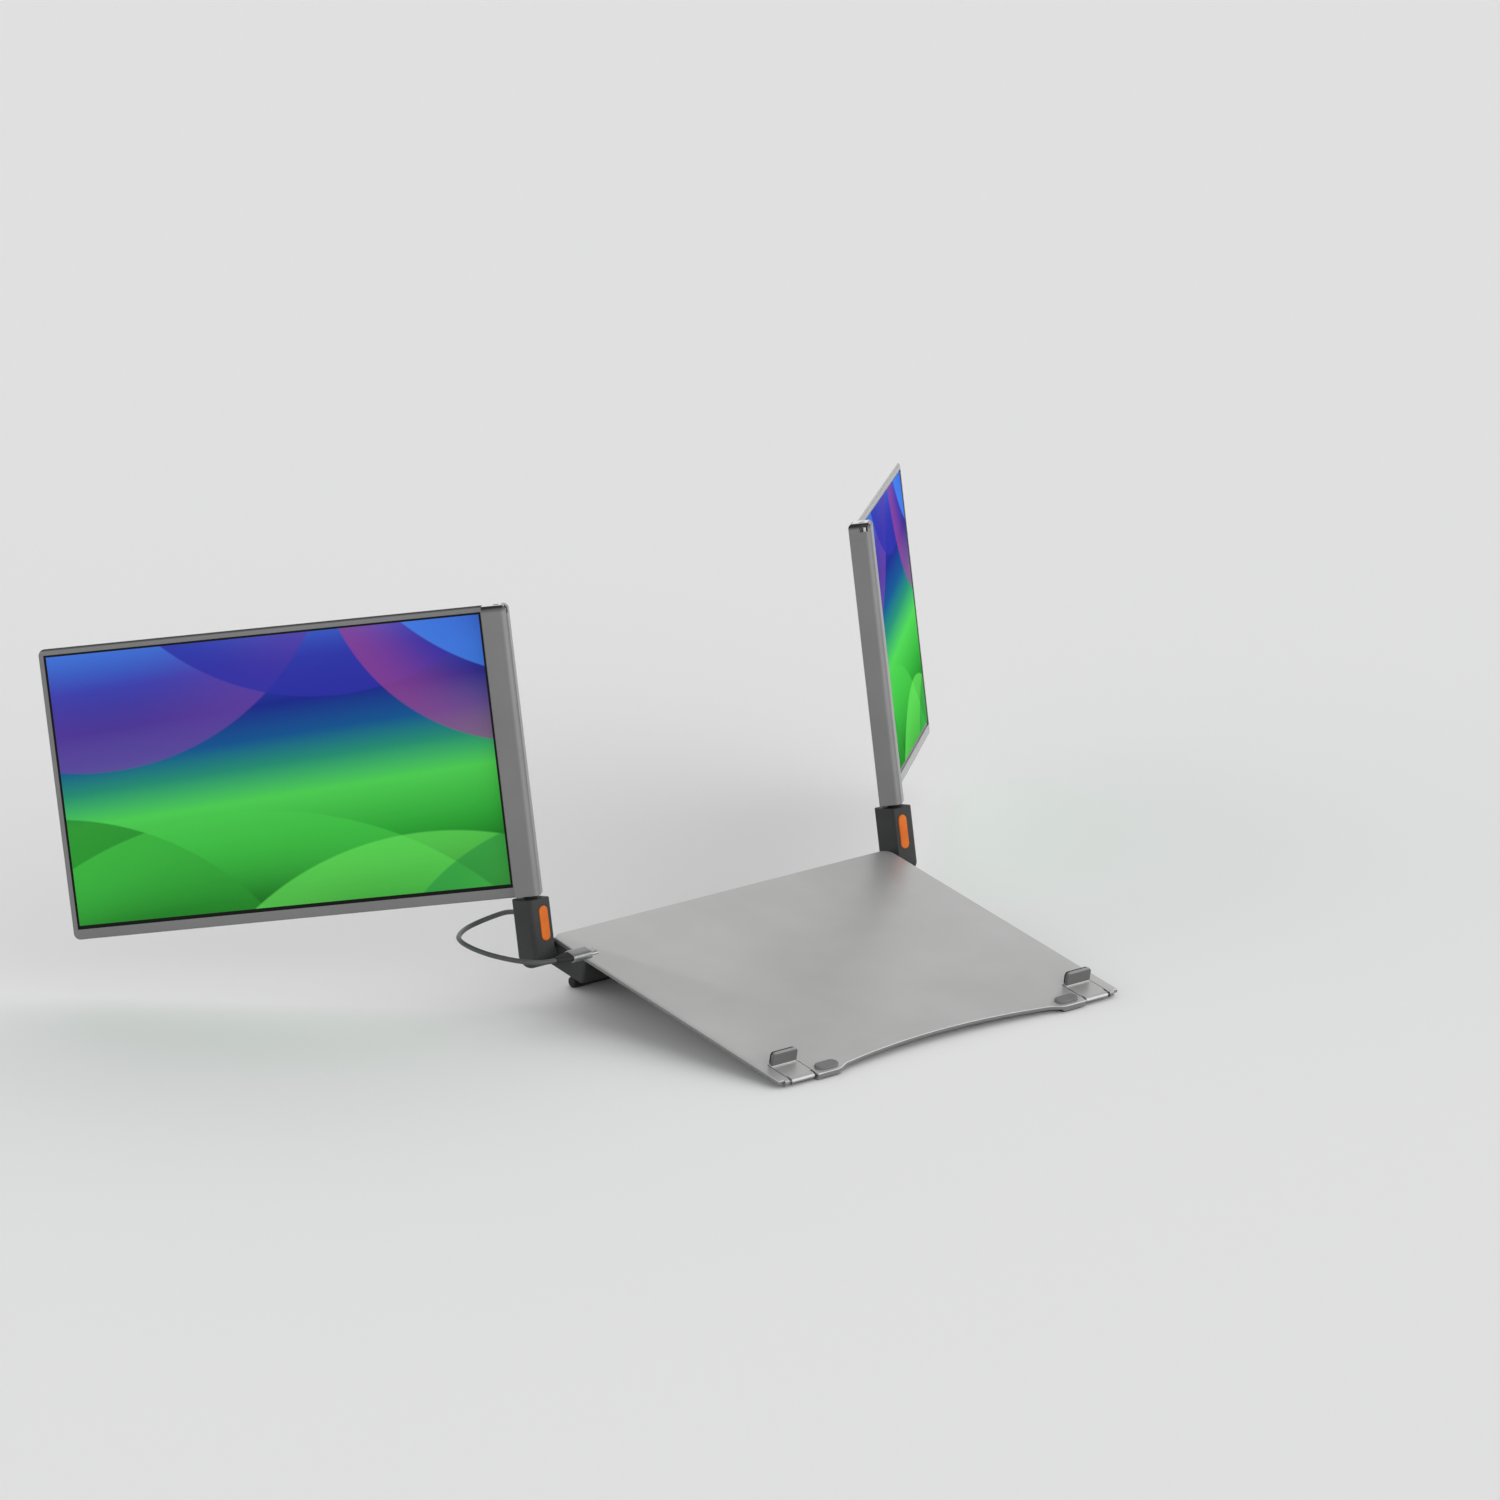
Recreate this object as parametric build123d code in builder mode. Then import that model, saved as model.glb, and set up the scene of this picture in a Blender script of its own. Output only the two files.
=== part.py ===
"""Laptop screen extender: a sloping tray with two tilting columns that carry two swivelling displays.

Millimetres, +Z up, +Y to the rear, origin on the desk under the middle of the whole assembly.
Three frames carry the design:
  TRAY       x across, y along the tray from the laptop's front edge, z up from the tray's top face
  column     one per side, z up the swivel axis, y to the rear, origin level with the lid's foot
  display    the column's frame turned about the swivel axis, z still along that axis
"""
import os
from math import cos, radians, sin, tan

from build123d import *

# ---------------------------------------------------------------- driving sizes
# stance
TRAY_SLOPE = 10.635          # degrees, front edge low
COLUMN_LEAN = 10.0           # degrees, columns and displays lean back
DISPLAY_SWING = {-1: 45.5, 1: 43.4}    # degrees, displays swung back from the laptop's own screen
WIDTH_MIDDLE = 4.062         # from the laptop's middle to the middle of the assembly
DEPTH_MIDDLE = 229.015       # from the laptop's front edge to the middle of the assembly
TRAY_RISE = 9.508            # tray's top face above the desk at the laptop's front edge
TRAY_SETBACK = 2.233

# tray
TRAY_HALF = 152.0
TRAY_REAR = 218.0
TRAY_T = 2.8
TRAY_EDGE_R = 0.7
CORNER_Y = -22.0             # front edge at the outer corners
TOE_Y = -25.5                # front edge at the toes that carry the feet
TOE_IN, TOE_OUT = 104.0, 120.4
SCOOP_X, SCOOP_Y, SCOOP_MID = 90.0, -20.6, -12.5
TOE_DROP = 1.4               # toes reach this far under the tray
FLAP_IN, FLAP_OUT = 120.4, 143.6
FLAP_BACK = 0.4
KNUCKLE_Y, KNUCKLE_Z, KNUCKLE_R = -21.8, -2.2, 2.2
PIN_R = 0.9
FIT = 0.05                   # clearance of a pin or shaft in its bore, on the radius

# hook flaps
HOOK_IN, HOOK_OUT = 121.1, 142.9
HOOK_T, HOOK_H = 4.0, 9.9
HOOK_PAD_T = 1.2
BARREL_NOTCH = 1.6           # the barrel is shorter than the flap by this at both ends

# columns
AXIS_X = 163.75              # swivel axes, left and right of the middle
AXIS_Y = 222.184             # behind the laptop's front edge, at the column frame's origin
AXIS_Z = 70.662
COLUMN_W = 17.5
COLUMN_FRONT, COLUMN_REAR = -9.6, 11.2
COLUMN_TOP = 6.4
COLUMN_OUTER_R, COLUMN_INNER_R = 3.0, 1.2
TILT_Z = -33.0               # tilt axis below the column frame's origin
COLUMN_FOOT = 8.0            # the column's rounded foot reaches this far below that axis
COVER_SPLIT = -7.0           # parting plane between column body and front cover
BUTTON_W, BUTTON_H, BUTTON_Z = 7.2, 24.0, -10.7
BUTTON_X = 1.8               # toward the laptop from the column's middle
BUTTON_PROUD = 0.7
SHAFT_R, COLLAR_R = 4.0, 7.0
ROD_R, BUSH_R, BUSH_FLANGE_R = 2.2, 3.6, 4.6
BUSH_BOTTOM = -10.0

# displays, in the display frame: x outward from the swivel axis, y behind it, z up it
SPINE_X, PANEL_X, OUTER_X = -7.5, 9.5, 313.8    # spine's inner side, panel's inner and outer sides
SPINE_FRONT, PANEL_FRONT, BACK_Y = -6.5, 2.7, 9.0
SPINE_BOTTOM, SPINE_TOP, CAP_TOP = 8.4, 201.4, 207.4
PANEL_BOTTOM, PANEL_TOP = 7.0, 207.3
ACTIVE_X0, ACTIVE_X1, ACTIVE_Z0, ACTIVE_Z1 = 12.3, 309.5, 16.0, 202.0
BORDER_SIDE, BORDER_BOTTOM = 1.0, 2.0   # black border round the picture
BEZEL_T, RIM_T = 0.6, 1.4    # front plate at the window, and at the rim that holds the glass
RIM_W = 1.2
TAPER = 9.0                  # the rear shell draws in by this between rim and back
SHELL_W, BACK_T = 1.8, 0.6   # rear shell: wall across the rim, and at the back
CORNER_R, BEZEL_R, BACK_R = 4.5, 0.9, 4.0
CAP_R, CAP_SIDE_R = 3.0, 4.5

# tilt housings under the tray's rear corners
HOUSING_IN, HOUSING_FRONT, HOUSING_WALL = 128.0, 181.0, 2.0
POST_Y = (188.0, 200.0)
POST_X = 140.0

# kickstand
LEG_HALF = 117.0
LEG_T = 2.4
LEG_PIVOT_Y, LEG_PIVOT_Z, LEG_PIVOT_R = 214.0, -6.4, 3.4
FOOT_Y, FOOT_Z, FOOT_R = 237.5, 3.7, 4.0

# lead from the left column to the laptop's port
LEAD_R = 1.7
RELIEF_Z, RELIEF_L = -4.4, 5.0   # the lead leaves the column's rear here
LEAD_ROUTE = [
    (-169.1, 256.3, 35.9), (-178.8, 260.8, 32.5), (-190.0, 259.7, 31.0), (-203.5, 250.3, 32.0),
    (-216.2, 236.7, 33.7), (-222.5, 217.6, 34.4), (-221.9, 196.6, 33.7), (-212.6, 178.2, 31.8),
    (-196.6, 169.8, 28.9), (-186.0, 169.8, 28.9),
]                            # y from the laptop's front edge, z above that edge
LAPTOP_EDGE_Z = 21.4         # height of that edge above the desk
PLUG_Y, PLUG_Z = 169.8, 28.9

SIDES = {"left": -1, "right": 1}

# ---------------------------------------------------------------- frames
TRAY = Plane(
    origin=(-WIDTH_MIDDLE, TRAY_SETBACK - DEPTH_MIDDLE, TRAY_RISE),
    x_dir=(1, 0, 0),
    z_dir=(0, -sin(radians(TRAY_SLOPE)), cos(radians(TRAY_SLOPE))),
)


def column_frame(side):
    lean = radians(COLUMN_LEAN)
    return Plane(
        origin=(side * AXIS_X - WIDTH_MIDDLE, AXIS_Y - DEPTH_MIDDLE, AXIS_Z),
        x_dir=(1, 0, 0),
        z_dir=(0, sin(lean), cos(lean)),
    )


def display_frame(side):
    column = column_frame(side)
    swing = radians(DISPLAY_SWING[side])
    x_dir = column.x_dir * cos(swing) + column.y_dir * (side * sin(swing))
    return Plane(origin=column.origin, x_dir=x_dir, z_dir=column.z_dir)


def facing(frame, y=0.0):
    """Sketch plane that faces the user: its axes are the frame's x and z."""
    return Plane(origin=frame.from_local_coords((0, y, 0)), x_dir=frame.x_dir, z_dir=-frame.y_dir)


def across(frame, x=0.0):
    """Sketch plane seen along the frame's x: its axes are the frame's y and z."""
    return Plane(origin=frame.from_local_coords((x, 0, 0)), x_dir=frame.y_dir, z_dir=frame.x_dir)


def span(side, near, far):
    """Start and length along x of what lies between two distances from the middle."""
    return (near, far - near) if side > 0 else (-far, far - near)


def tilt_axis_on_tray():
    """The tilt axis in the tray's y and z."""
    point = TRAY.to_local_coords(column_frame(1).from_local_coords((0, 0, TILT_Z)))
    return point.Y, point.Z


def save(builder, name):
    builder.part.label = name
    export_step(builder.part, f"parts/{name}.step")


# ---------------------------------------------------------------- stand
def make_tray():
    scoop_tangent = (1, 0)
    with BuildPart() as tray:
        with BuildSketch(TRAY):
            with BuildLine():
                scoop = TangentArc((0, SCOOP_MID), (SCOOP_X, SCOOP_Y), tangent=scoop_tangent)
                Spline((SCOOP_X, SCOOP_Y), (TOE_IN, TOE_Y), tangents=[scoop % 1, (1, 0)])
                Polyline(
                    (TOE_IN, TOE_Y), (TOE_OUT, TOE_Y), (TOE_OUT, CORNER_Y), (TRAY_HALF, CORNER_Y),
                    (TRAY_HALF, TRAY_REAR), (0, TRAY_REAR), (0, SCOOP_MID),
                )
            half = make_face()
            corners = half.vertices().group_by(Axis.X)[-1].sort_by(Axis.Y)
            fillet(corners[-1], 8)
            fillet(half.vertices().group_by(Axis.X)[-1].sort_by(Axis.Y)[0], 3)
            mirror(about=Plane.YZ)
        extrude(amount=-TRAY_T)
        top = tray.faces().sort_by(Axis((0, 0, 0), TRAY.z_dir))[-1]
        fillet(top.edges(), TRAY_EDGE_R)
        for side in SIDES.values():
            flap_x = side * (FLAP_IN + FLAP_OUT) / 2
            toe_x = side * (100.3 + TOE_OUT) / 2
            with BuildSketch(TRAY.offset(-TRAY_T)):
                with Locations((toe_x, -18.75)):
                    RectangleRounded(TOE_OUT - 100.3, 13.5, 1.5)
            extrude(amount=-TOE_DROP)
            with BuildSketch(TRAY.offset(1)):
                with Locations((flap_x, (FLAP_BACK - 30) / 2)):
                    Rectangle(FLAP_OUT - FLAP_IN, 30 + FLAP_BACK)
            extrude(amount=-10, mode=Mode.SUBTRACT)
            # knuckle at the outer corner, for the flap's pin
            start, length = span(side, 144.0, 147.6)
            with BuildSketch(across(TRAY, start)):
                with Locations((KNUCKLE_Y, KNUCKLE_Z)):
                    Circle(KNUCKLE_R)
            extrude(amount=length)
            start, length = span(side, 112.0, 147.6)
            with BuildSketch(across(TRAY, start)):
                with Locations((KNUCKLE_Y, KNUCKLE_Z)):
                    Circle(PIN_R + FIT)
            extrude(amount=length, mode=Mode.SUBTRACT)
            # threaded holes for the housing screws
            with BuildSketch(TRAY.offset(-TRAY_T)):
                with Locations([(side * POST_X, y) for y in POST_Y]):
                    Circle(1.3)
            extrude(amount=TRAY_T - 1.0, mode=Mode.SUBTRACT)
    save(tray, "base_tray")


def make_bumpers_and_feet():
    with BuildPart() as bumpers:
        with BuildSketch(TRAY):
            with Locations((-107.75, -18.5), (107.75, -18.5)):
                SlotOverall(18.5, 8.6)
        extrude(amount=1.8)
        fillet(bumpers.faces().group_by(Axis((0, 0, 0), TRAY.z_dir))[-1].edges(), 0.9)
    save(bumpers, "front_bumpers")

    foot_top = -TRAY_T - TOE_DROP
    with BuildPart() as feet:
        with BuildSketch(TRAY.offset(foot_top)):
            with Locations((-109.2, -18.6), (109.2, -18.6)):
                RectangleRounded(16.7, 12.2, 2.0)
        extrude(amount=-6)
        split(bisect_by=Plane.XY, keep=Keep.TOP)
    save(feet, "front_feet")


def make_tilt_housing(side, name):
    axis_y, axis_z = tilt_axis_on_tray()
    end_r = -TRAY_T - axis_z
    bottom = axis_z - end_r
    start, width = span(side, HOUSING_IN, TRAY_HALF)
    inner_start, inner_width = span(side, HOUSING_IN + HOUSING_WALL, TRAY_HALF - HOUSING_WALL)
    with BuildPart() as housing:
        with BuildSketch(across(TRAY, start)):
            with Locations(((HOUSING_FRONT + axis_y) / 2, axis_z)):
                Rectangle(axis_y - HOUSING_FRONT, 2 * end_r)
            with Locations((axis_y, axis_z)):
                Circle(end_r)
        extrude(amount=width)
        fillet(
            housing.edges().filter_by(Axis((0, 0, 0), TRAY.z_dir)).group_by(Axis.Y)[0], 2.5,
        )
        # room for the cover screws, open below, and for the friction stack round the shaft
        with BuildSketch(TRAY.offset(bottom)):
            with Locations((side * POST_X, (183.0 + 205.0) / 2)):
                Rectangle(inner_width, 22.0)
        extrude(amount=bottom * -1 - 4.8, mode=Mode.SUBTRACT)
        with BuildSketch(across(TRAY, inner_start)):
            with Locations((axis_y, axis_z)):
                Circle(6.6)
        extrude(amount=inner_width, mode=Mode.SUBTRACT)
        with BuildSketch(across(TRAY, start)):
            with Locations((axis_y, axis_z)):
                Circle(SHAFT_R + FIT)
        extrude(amount=width, mode=Mode.SUBTRACT)
        with BuildSketch(TRAY.offset(bottom + 1.5)):
            with Locations([(side * POST_X, y) for y in POST_Y]):
                Circle(3.2)
        extrude(amount=-bottom - 1.5 - 4.8)
        with BuildSketch(TRAY.offset(bottom)):
            with Locations([(side * POST_X, y) for y in POST_Y]):
                Circle(1.3)
        extrude(amount=-bottom - TRAY_T, mode=Mode.SUBTRACT)
    save(housing, f"tilt_housing_{name}")

    with BuildPart() as cover:
        with BuildSketch(TRAY.offset(bottom)):
            with Locations((side * POST_X, (183.0 + 205.0) / 2)):
                Rectangle(inner_width - 0.2, 21.8)
        extrude(amount=1.5)
        with BuildSketch(TRAY.offset(bottom)):
            with Locations([(side * POST_X, y) for y in POST_Y]):
                Circle(2.6)
        extrude(amount=0.9, mode=Mode.SUBTRACT)
        with BuildSketch(TRAY.offset(bottom)):
            with Locations([(side * POST_X, y) for y in POST_Y]):
                Circle(1.3)
        extrude(amount=1.5, mode=Mode.SUBTRACT)
    save(cover, f"housing_cover_{name}")


def make_housing_screws():
    axis_z = tilt_axis_on_tray()[1]
    bottom = 2 * axis_z + TRAY_T
    spots = [(side * POST_X, y) for side in SIDES.values() for y in POST_Y]
    with BuildPart() as screws:
        with BuildSketch(TRAY.offset(bottom + 0.9)):
            with Locations(spots):
                Circle(1.2)
        extrude(amount=-bottom - 0.9 - 1.2)
        with BuildSketch(TRAY.offset(bottom + 0.1)):
            with Locations(spots):
                Circle(2.4)
        extrude(amount=0.8)
        with BuildSketch(TRAY.offset(bottom + 0.1)):
            with Locations(spots):
                RegularPolygon(1.1, 6)
        extrude(amount=0.5, mode=Mode.SUBTRACT)
    save(screws, "housing_screws")


def make_flap_pins():
    with BuildPart() as pins:
        for side in SIDES.values():
            start, length = span(side, 112.2, 147.6)
            with BuildSketch(across(TRAY, start)):
                with Locations((KNUCKLE_Y, KNUCKLE_Z)):
                    Circle(PIN_R)
            extrude(amount=length)
    save(pins, "flap_pins")


def make_hook_flap(side, name):
    start, width = span(side, FLAP_IN + 0.3, FLAP_OUT - 0.3)
    hook_start, hook_width = span(side, HOOK_IN, HOOK_OUT)
    with BuildPart() as flap:
        # panel with its knuckle along the front
        with BuildSketch(across(TRAY, start)):
            with Locations((KNUCKLE_Y / 2, -1.2)):
                Rectangle(-KNUCKLE_Y, 2.4)
            with Locations((KNUCKLE_Y, KNUCKLE_Z)):
                Circle(KNUCKLE_R)
        extrude(amount=width)
        for end in (start, start + width - BARREL_NOTCH):
            with BuildSketch(across(TRAY, end)):
                with Locations((KNUCKLE_Y, KNUCKLE_Z)):
                    Rectangle(3.2 * KNUCKLE_R, 6 * KNUCKLE_R)
            extrude(amount=BARREL_NOTCH, mode=Mode.SUBTRACT)
        # the hook stands on the panel's rear end
        with BuildSketch(facing(TRAY, -HOOK_T)):
            with BuildLine():
                Polyline(
                    (hook_start, -2.4), (hook_start, HOOK_H),
                    (hook_start + hook_width, HOOK_H), (hook_start + hook_width, -2.4),
                    (hook_start, -2.4),
                )
            hook = make_face()
            fillet(hook.vertices().group_by(Axis.Y)[-1], 3.0)
        extrude(amount=-(HOOK_T - HOOK_PAD_T))
        fillet(flap.faces().sort_by(Axis((0, 0, 0), TRAY.z_dir))[-1].edges().filter_by(Axis.X), 1.0)
        with BuildSketch(across(TRAY, start)):
            with Locations((KNUCKLE_Y, KNUCKLE_Z)):
                Circle(PIN_R + FIT)
        extrude(amount=width, mode=Mode.SUBTRACT)
    save(flap, f"hook_flap_{name}")

    with BuildPart() as pad:
        with BuildSketch(facing(TRAY, -HOOK_PAD_T)):
            with Locations((hook_start + hook_width / 2, (HOOK_H - 0.5) / 2)):
                RectangleRounded(hook_width - 1.0, HOOK_H - 0.5, 2.4)
        extrude(amount=-HOOK_PAD_T)
    save(pad, f"hook_pad_{name}")


def kickstand_frame():
    """Origin on the leg's pivot, z from the foot up to the pivot, y out of the leg's rear face."""
    pivot = TRAY.from_local_coords((0, LEG_PIVOT_Y, LEG_PIVOT_Z))
    foot = Vector(-WIDTH_MIDDLE, FOOT_Y - DEPTH_MIDDLE, FOOT_Z)
    return Plane(origin=pivot, x_dir=(1, 0, 0), z_dir=pivot - foot), (pivot - foot).length


def make_kickstand():
    leg_frame, leg_length = kickstand_frame()
    leg_knuckles = [(-100, 40), (-20, 40), (60, 40)]
    bracket_knuckles = [(-59, 38), (21, 38)]
    with BuildPart() as leg:
        with BuildSketch(facing(leg_frame, -LEG_T / 2)):
            with Locations((0, -(leg_length - 1.0 + 4.6) / 2)):
                RectangleRounded(2 * LEG_HALF - 2, leg_length - 1.0 - 4.6, 1.0)
        extrude(amount=-LEG_T)
        for start, length in leg_knuckles:
            with BuildSketch(across(leg_frame, start)):
                Circle(LEG_PIVOT_R)
                with Locations((0, -LEG_PIVOT_R)):
                    Rectangle(LEG_T, 2 * LEG_PIVOT_R)
                Circle(1.55, mode=Mode.SUBTRACT)
            extrude(amount=length)
    save(leg, "kickstand_leg")

    with BuildPart() as foot:
        with BuildSketch(across(leg_frame, -LEG_HALF)):
            with Locations((0, -leg_length)):
                Circle(FOOT_R)
        extrude(amount=2 * LEG_HALF)
        fillet(foot.edges().filter_by(GeomType.CIRCLE), 1.6)
        with BuildSketch(facing(leg_frame, -LEG_T / 2)):
            with Locations((0, -(leg_length - 1.0) / 2)):
                RectangleRounded(2 * LEG_HALF - 2, leg_length - 1.0, 1.0)
        extrude(amount=-LEG_T, mode=Mode.SUBTRACT)
        split(bisect_by=Plane.XY, keep=Keep.TOP)
    save(foot, "kickstand_foot")

    with BuildPart() as brackets:
        for start, length in bracket_knuckles:
            with BuildSketch(across(TRAY, start)):
                with Locations((LEG_PIVOT_Y, LEG_PIVOT_Z)):
                    Circle(LEG_PIVOT_R)
                with Locations((LEG_PIVOT_Y - LEG_PIVOT_R / 2, LEG_PIVOT_Z / 2)):
                    Rectangle(LEG_PIVOT_R, -LEG_PIVOT_Z)
                with Locations((LEG_PIVOT_Y - 10, -TRAY_T - 0.8)):
                    Rectangle(16, 1.6)
            extrude(amount=length)
            with BuildSketch(across(TRAY, start)):
                with Locations((LEG_PIVOT_Y, LEG_PIVOT_Z)):
                    Circle(1.55)
            extrude(amount=length, mode=Mode.SUBTRACT)
        # everything above the tray's underside is the tray
        split(bisect_by=TRAY.offset(-TRAY_T), keep=Keep.BOTTOM)
    save(brackets, "kickstand_brackets")

    with BuildPart() as pin:
        with BuildSketch(across(leg_frame, -101.5)):
            Circle(1.5)
        extrude(amount=203.0)
    save(pin, "kickstand_pin")


# ---------------------------------------------------------------- columns
def column_block(side):
    """The whole column, before it is parted into body and front cover."""
    frame = column_frame(side)
    upright = Axis((0, 0, 0), frame.z_dir)
    middle, depth = (COLUMN_FRONT + COLUMN_REAR) / 2, COLUMN_REAR - COLUMN_FRONT
    with BuildPart() as block:
        with BuildSketch(across(frame, -COLUMN_W / 2)):
            with Locations((middle, (COLUMN_TOP + TILT_Z) / 2)):
                Rectangle(depth, COLUMN_TOP - TILT_Z)
            with Locations((middle, TILT_Z)):
                Ellipse(depth / 2, COLUMN_FOOT)
        extrude(amount=COLUMN_W)
        rims = block.edges().group_by(Axis.X)
        inner, outer = (rims[0], rims[-1]) if side > 0 else (rims[-1], rims[0])
        fillet(outer.sort_by(upright)[:-1], COLUMN_OUTER_R)
        fillet(inner.sort_by(upright)[:-1], COLUMN_INNER_R)
        fillet(block.faces().sort_by(upright)[-1].edges(), 0.8)
    return block.part


def make_column(side, name):
    frame = column_frame(side)
    toward_middle = -side
    button = (toward_middle * BUTTON_X, BUTTON_Z)
    spring = (toward_middle * BUTTON_X, -18.5)
    with BuildPart() as body:
        add(column_block(side))
        split(bisect_by=facing(frame, COVER_SPLIT), keep=Keep.BOTTOM)
        # swivel bore with its bush seat, and the rod's clearance below it
        with BuildSketch(frame.offset(BUSH_BOTTOM)):
            Circle(BUSH_R + FIT)
        extrude(amount=COLUMN_TOP - BUSH_BOTTOM, mode=Mode.SUBTRACT)
        # keyed bore for the tilt shaft, blind from the inner side
        with BuildSketch(across(frame, toward_middle * COLUMN_W / 2)):
            with Locations((0, TILT_Z)):
                Circle(SHAFT_R + FIT)
        extrude(amount=side * 13.0, mode=Mode.SUBTRACT)
        # shallow pocket that lets the button's flange travel, and its spring's hole
        with BuildSketch(facing(frame, COVER_SPLIT)):
            with Locations(button):
                SlotOverall(BUTTON_H + 2.4, BUTTON_W + 2.4, rotation=90)
        extrude(amount=-0.9, mode=Mode.SUBTRACT)
        with BuildSketch(facing(frame, COVER_SPLIT)):
            with Locations(spring):
                Circle(2.4)
        extrude(amount=-5.4, mode=Mode.SUBTRACT)
        with BuildSketch(facing(frame, COVER_SPLIT)):
            with Locations((-6.1, -28.0), (6.1, -28.0)):
                Circle(0.95)
        extrude(amount=-2.4, mode=Mode.SUBTRACT)
        if name == "left":
            with BuildSketch(facing(frame, COLUMN_REAR)):
                with Locations((0, RELIEF_Z)):
                    Circle(2.7)
            extrude(amount=3.6, mode=Mode.SUBTRACT)
    save(body, f"column_body_{name}")

    with BuildPart() as cover:
        add(column_block(side))
        split(bisect_by=facing(frame, COVER_SPLIT), keep=Keep.TOP)
        with BuildSketch(facing(frame, COVER_SPLIT)):
            with Locations(button):
                SlotOverall(BUTTON_H + 2.4, BUTTON_W + 2.4, rotation=90)
        extrude(amount=1.2, mode=Mode.SUBTRACT)
        with BuildSketch(facing(frame, COVER_SPLIT)):
            with Locations(button):
                SlotOverall(BUTTON_H + 0.3, BUTTON_W + 0.3, rotation=90)
        extrude(amount=4, mode=Mode.SUBTRACT)
        # pegs that locate the cover on the body
        with BuildSketch(facing(frame, COVER_SPLIT)):
            with Locations((-6.1, -28.0), (6.1, -28.0)):
                Circle(0.9)
        extrude(amount=-2.2)
    save(cover, f"column_cover_{name}")


def make_release_button(side, name):
    frame = column_frame(side)
    front = COLUMN_FRONT - BUTTON_PROUD
    flange_front = COVER_SPLIT - 1.2 + FIT
    button_x = -side * BUTTON_X
    with BuildPart() as button:
        with BuildSketch(facing(frame, front)):
            with Locations((button_x, BUTTON_Z)):
                SlotOverall(BUTTON_H, BUTTON_W, rotation=90)
        extrude(amount=-(flange_front - front))
        fillet(button.faces().sort_by(Axis((0, 0, 0), frame.y_dir))[0].edges(), 0.6)
        with BuildSketch(facing(frame, flange_front)):
            with Locations((button_x, BUTTON_Z)):
                SlotOverall(BUTTON_H + 1.8, BUTTON_W + 1.8, rotation=90)
        extrude(amount=-0.8)
    save(button, f"release_button_{name}")

    with BuildPart() as spring:
        with BuildSketch(facing(frame, flange_front + 0.8)):
            with Locations((button_x, -18.5)):
                Circle(2.0)
                Circle(1.3, mode=Mode.SUBTRACT)
        extrude(amount=-4.2)
    save(spring, f"button_spring_{name}")


def make_tilt_hinge(side, name):
    frame = column_frame(side)
    collar = (TRAY_HALF + 0.2, AXIS_X - COLUMN_W / 2 - FIT)
    with BuildPart() as shaft:
        for radius, near, far in ((SHAFT_R, 133.0, 167.5), (COLLAR_R, *collar)):
            start, length = span(side, near - AXIS_X, far - AXIS_X)
            with BuildSketch(across(frame, start)):
                with Locations((0, TILT_Z)):
                    Circle(radius)
            extrude(amount=length)
    save(shaft, f"tilt_shaft_{name}")

    with BuildPart() as washers:
        for near in (148.35, 146.75, 145.15):
            start, length = span(side, near - AXIS_X, near + 1.5 - AXIS_X)
            with BuildSketch(across(frame, start)):
                with Locations((0, TILT_Z)):
                    Circle(6.2)
                    Circle(SHAFT_R + FIT, mode=Mode.SUBTRACT)
            extrude(amount=length)
    save(washers, f"friction_washers_{name}")

    with BuildPart() as nut:
        start, length = span(side, 140.5 - AXIS_X, 145.1 - AXIS_X)
        with BuildSketch(across(frame, start)):
            with Locations((0, TILT_Z)):
                RegularPolygon(6.0, 6)
                Circle(SHAFT_R + FIT, mode=Mode.SUBTRACT)
        extrude(amount=length)
    save(nut, f"tilt_nut_{name}")


def make_swivel_bush(side, name):
    frame = column_frame(side)
    with BuildPart() as bush:
        with BuildSketch(frame.offset(BUSH_BOTTOM + FIT)):
            Circle(BUSH_R)
        extrude(amount=COLUMN_TOP - BUSH_BOTTOM - FIT)
        with BuildSketch(frame.offset(COLUMN_TOP)):
            Circle(BUSH_FLANGE_R)
        extrude(amount=SPINE_BOTTOM - COLUMN_TOP - FIT)
        with BuildSketch(frame.offset(BUSH_BOTTOM + 1.0)):
            Circle(ROD_R + FIT)
        extrude(amount=30, mode=Mode.SUBTRACT)
    save(bush, f"swivel_bush_{name}")


# ---------------------------------------------------------------- displays
def panel_outline(side, inset=0.0, inner=0.0, radius=0.0, mode=Mode.ADD):
    """Panel outline drawn in by an inset at the top, bottom and outer side, and by inner at the spine."""
    x0, x1 = PANEL_X + inner, OUTER_X - inset
    z0, z1 = PANEL_BOTTOM + inset, PANEL_TOP - inset
    with BuildSketch(mode=Mode.PRIVATE) as outline:
        with Locations((side * (x0 + x1) / 2, (z0 + z1) / 2)):
            Rectangle(x1 - x0, z1 - z0)
        if radius:
            fillet(outline.vertices().group_by(Axis.X)[-1 if side > 0 else 0], radius)
    return add(outline.sketch, mode=mode)


def panel_rectangle(side, x0, x1, z0, z1, mode=Mode.ADD):
    with Locations((side * (x0 + x1) / 2, (z0 + z1) / 2)):
        return Rectangle(x1 - x0, z1 - z0, mode=mode)


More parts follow.
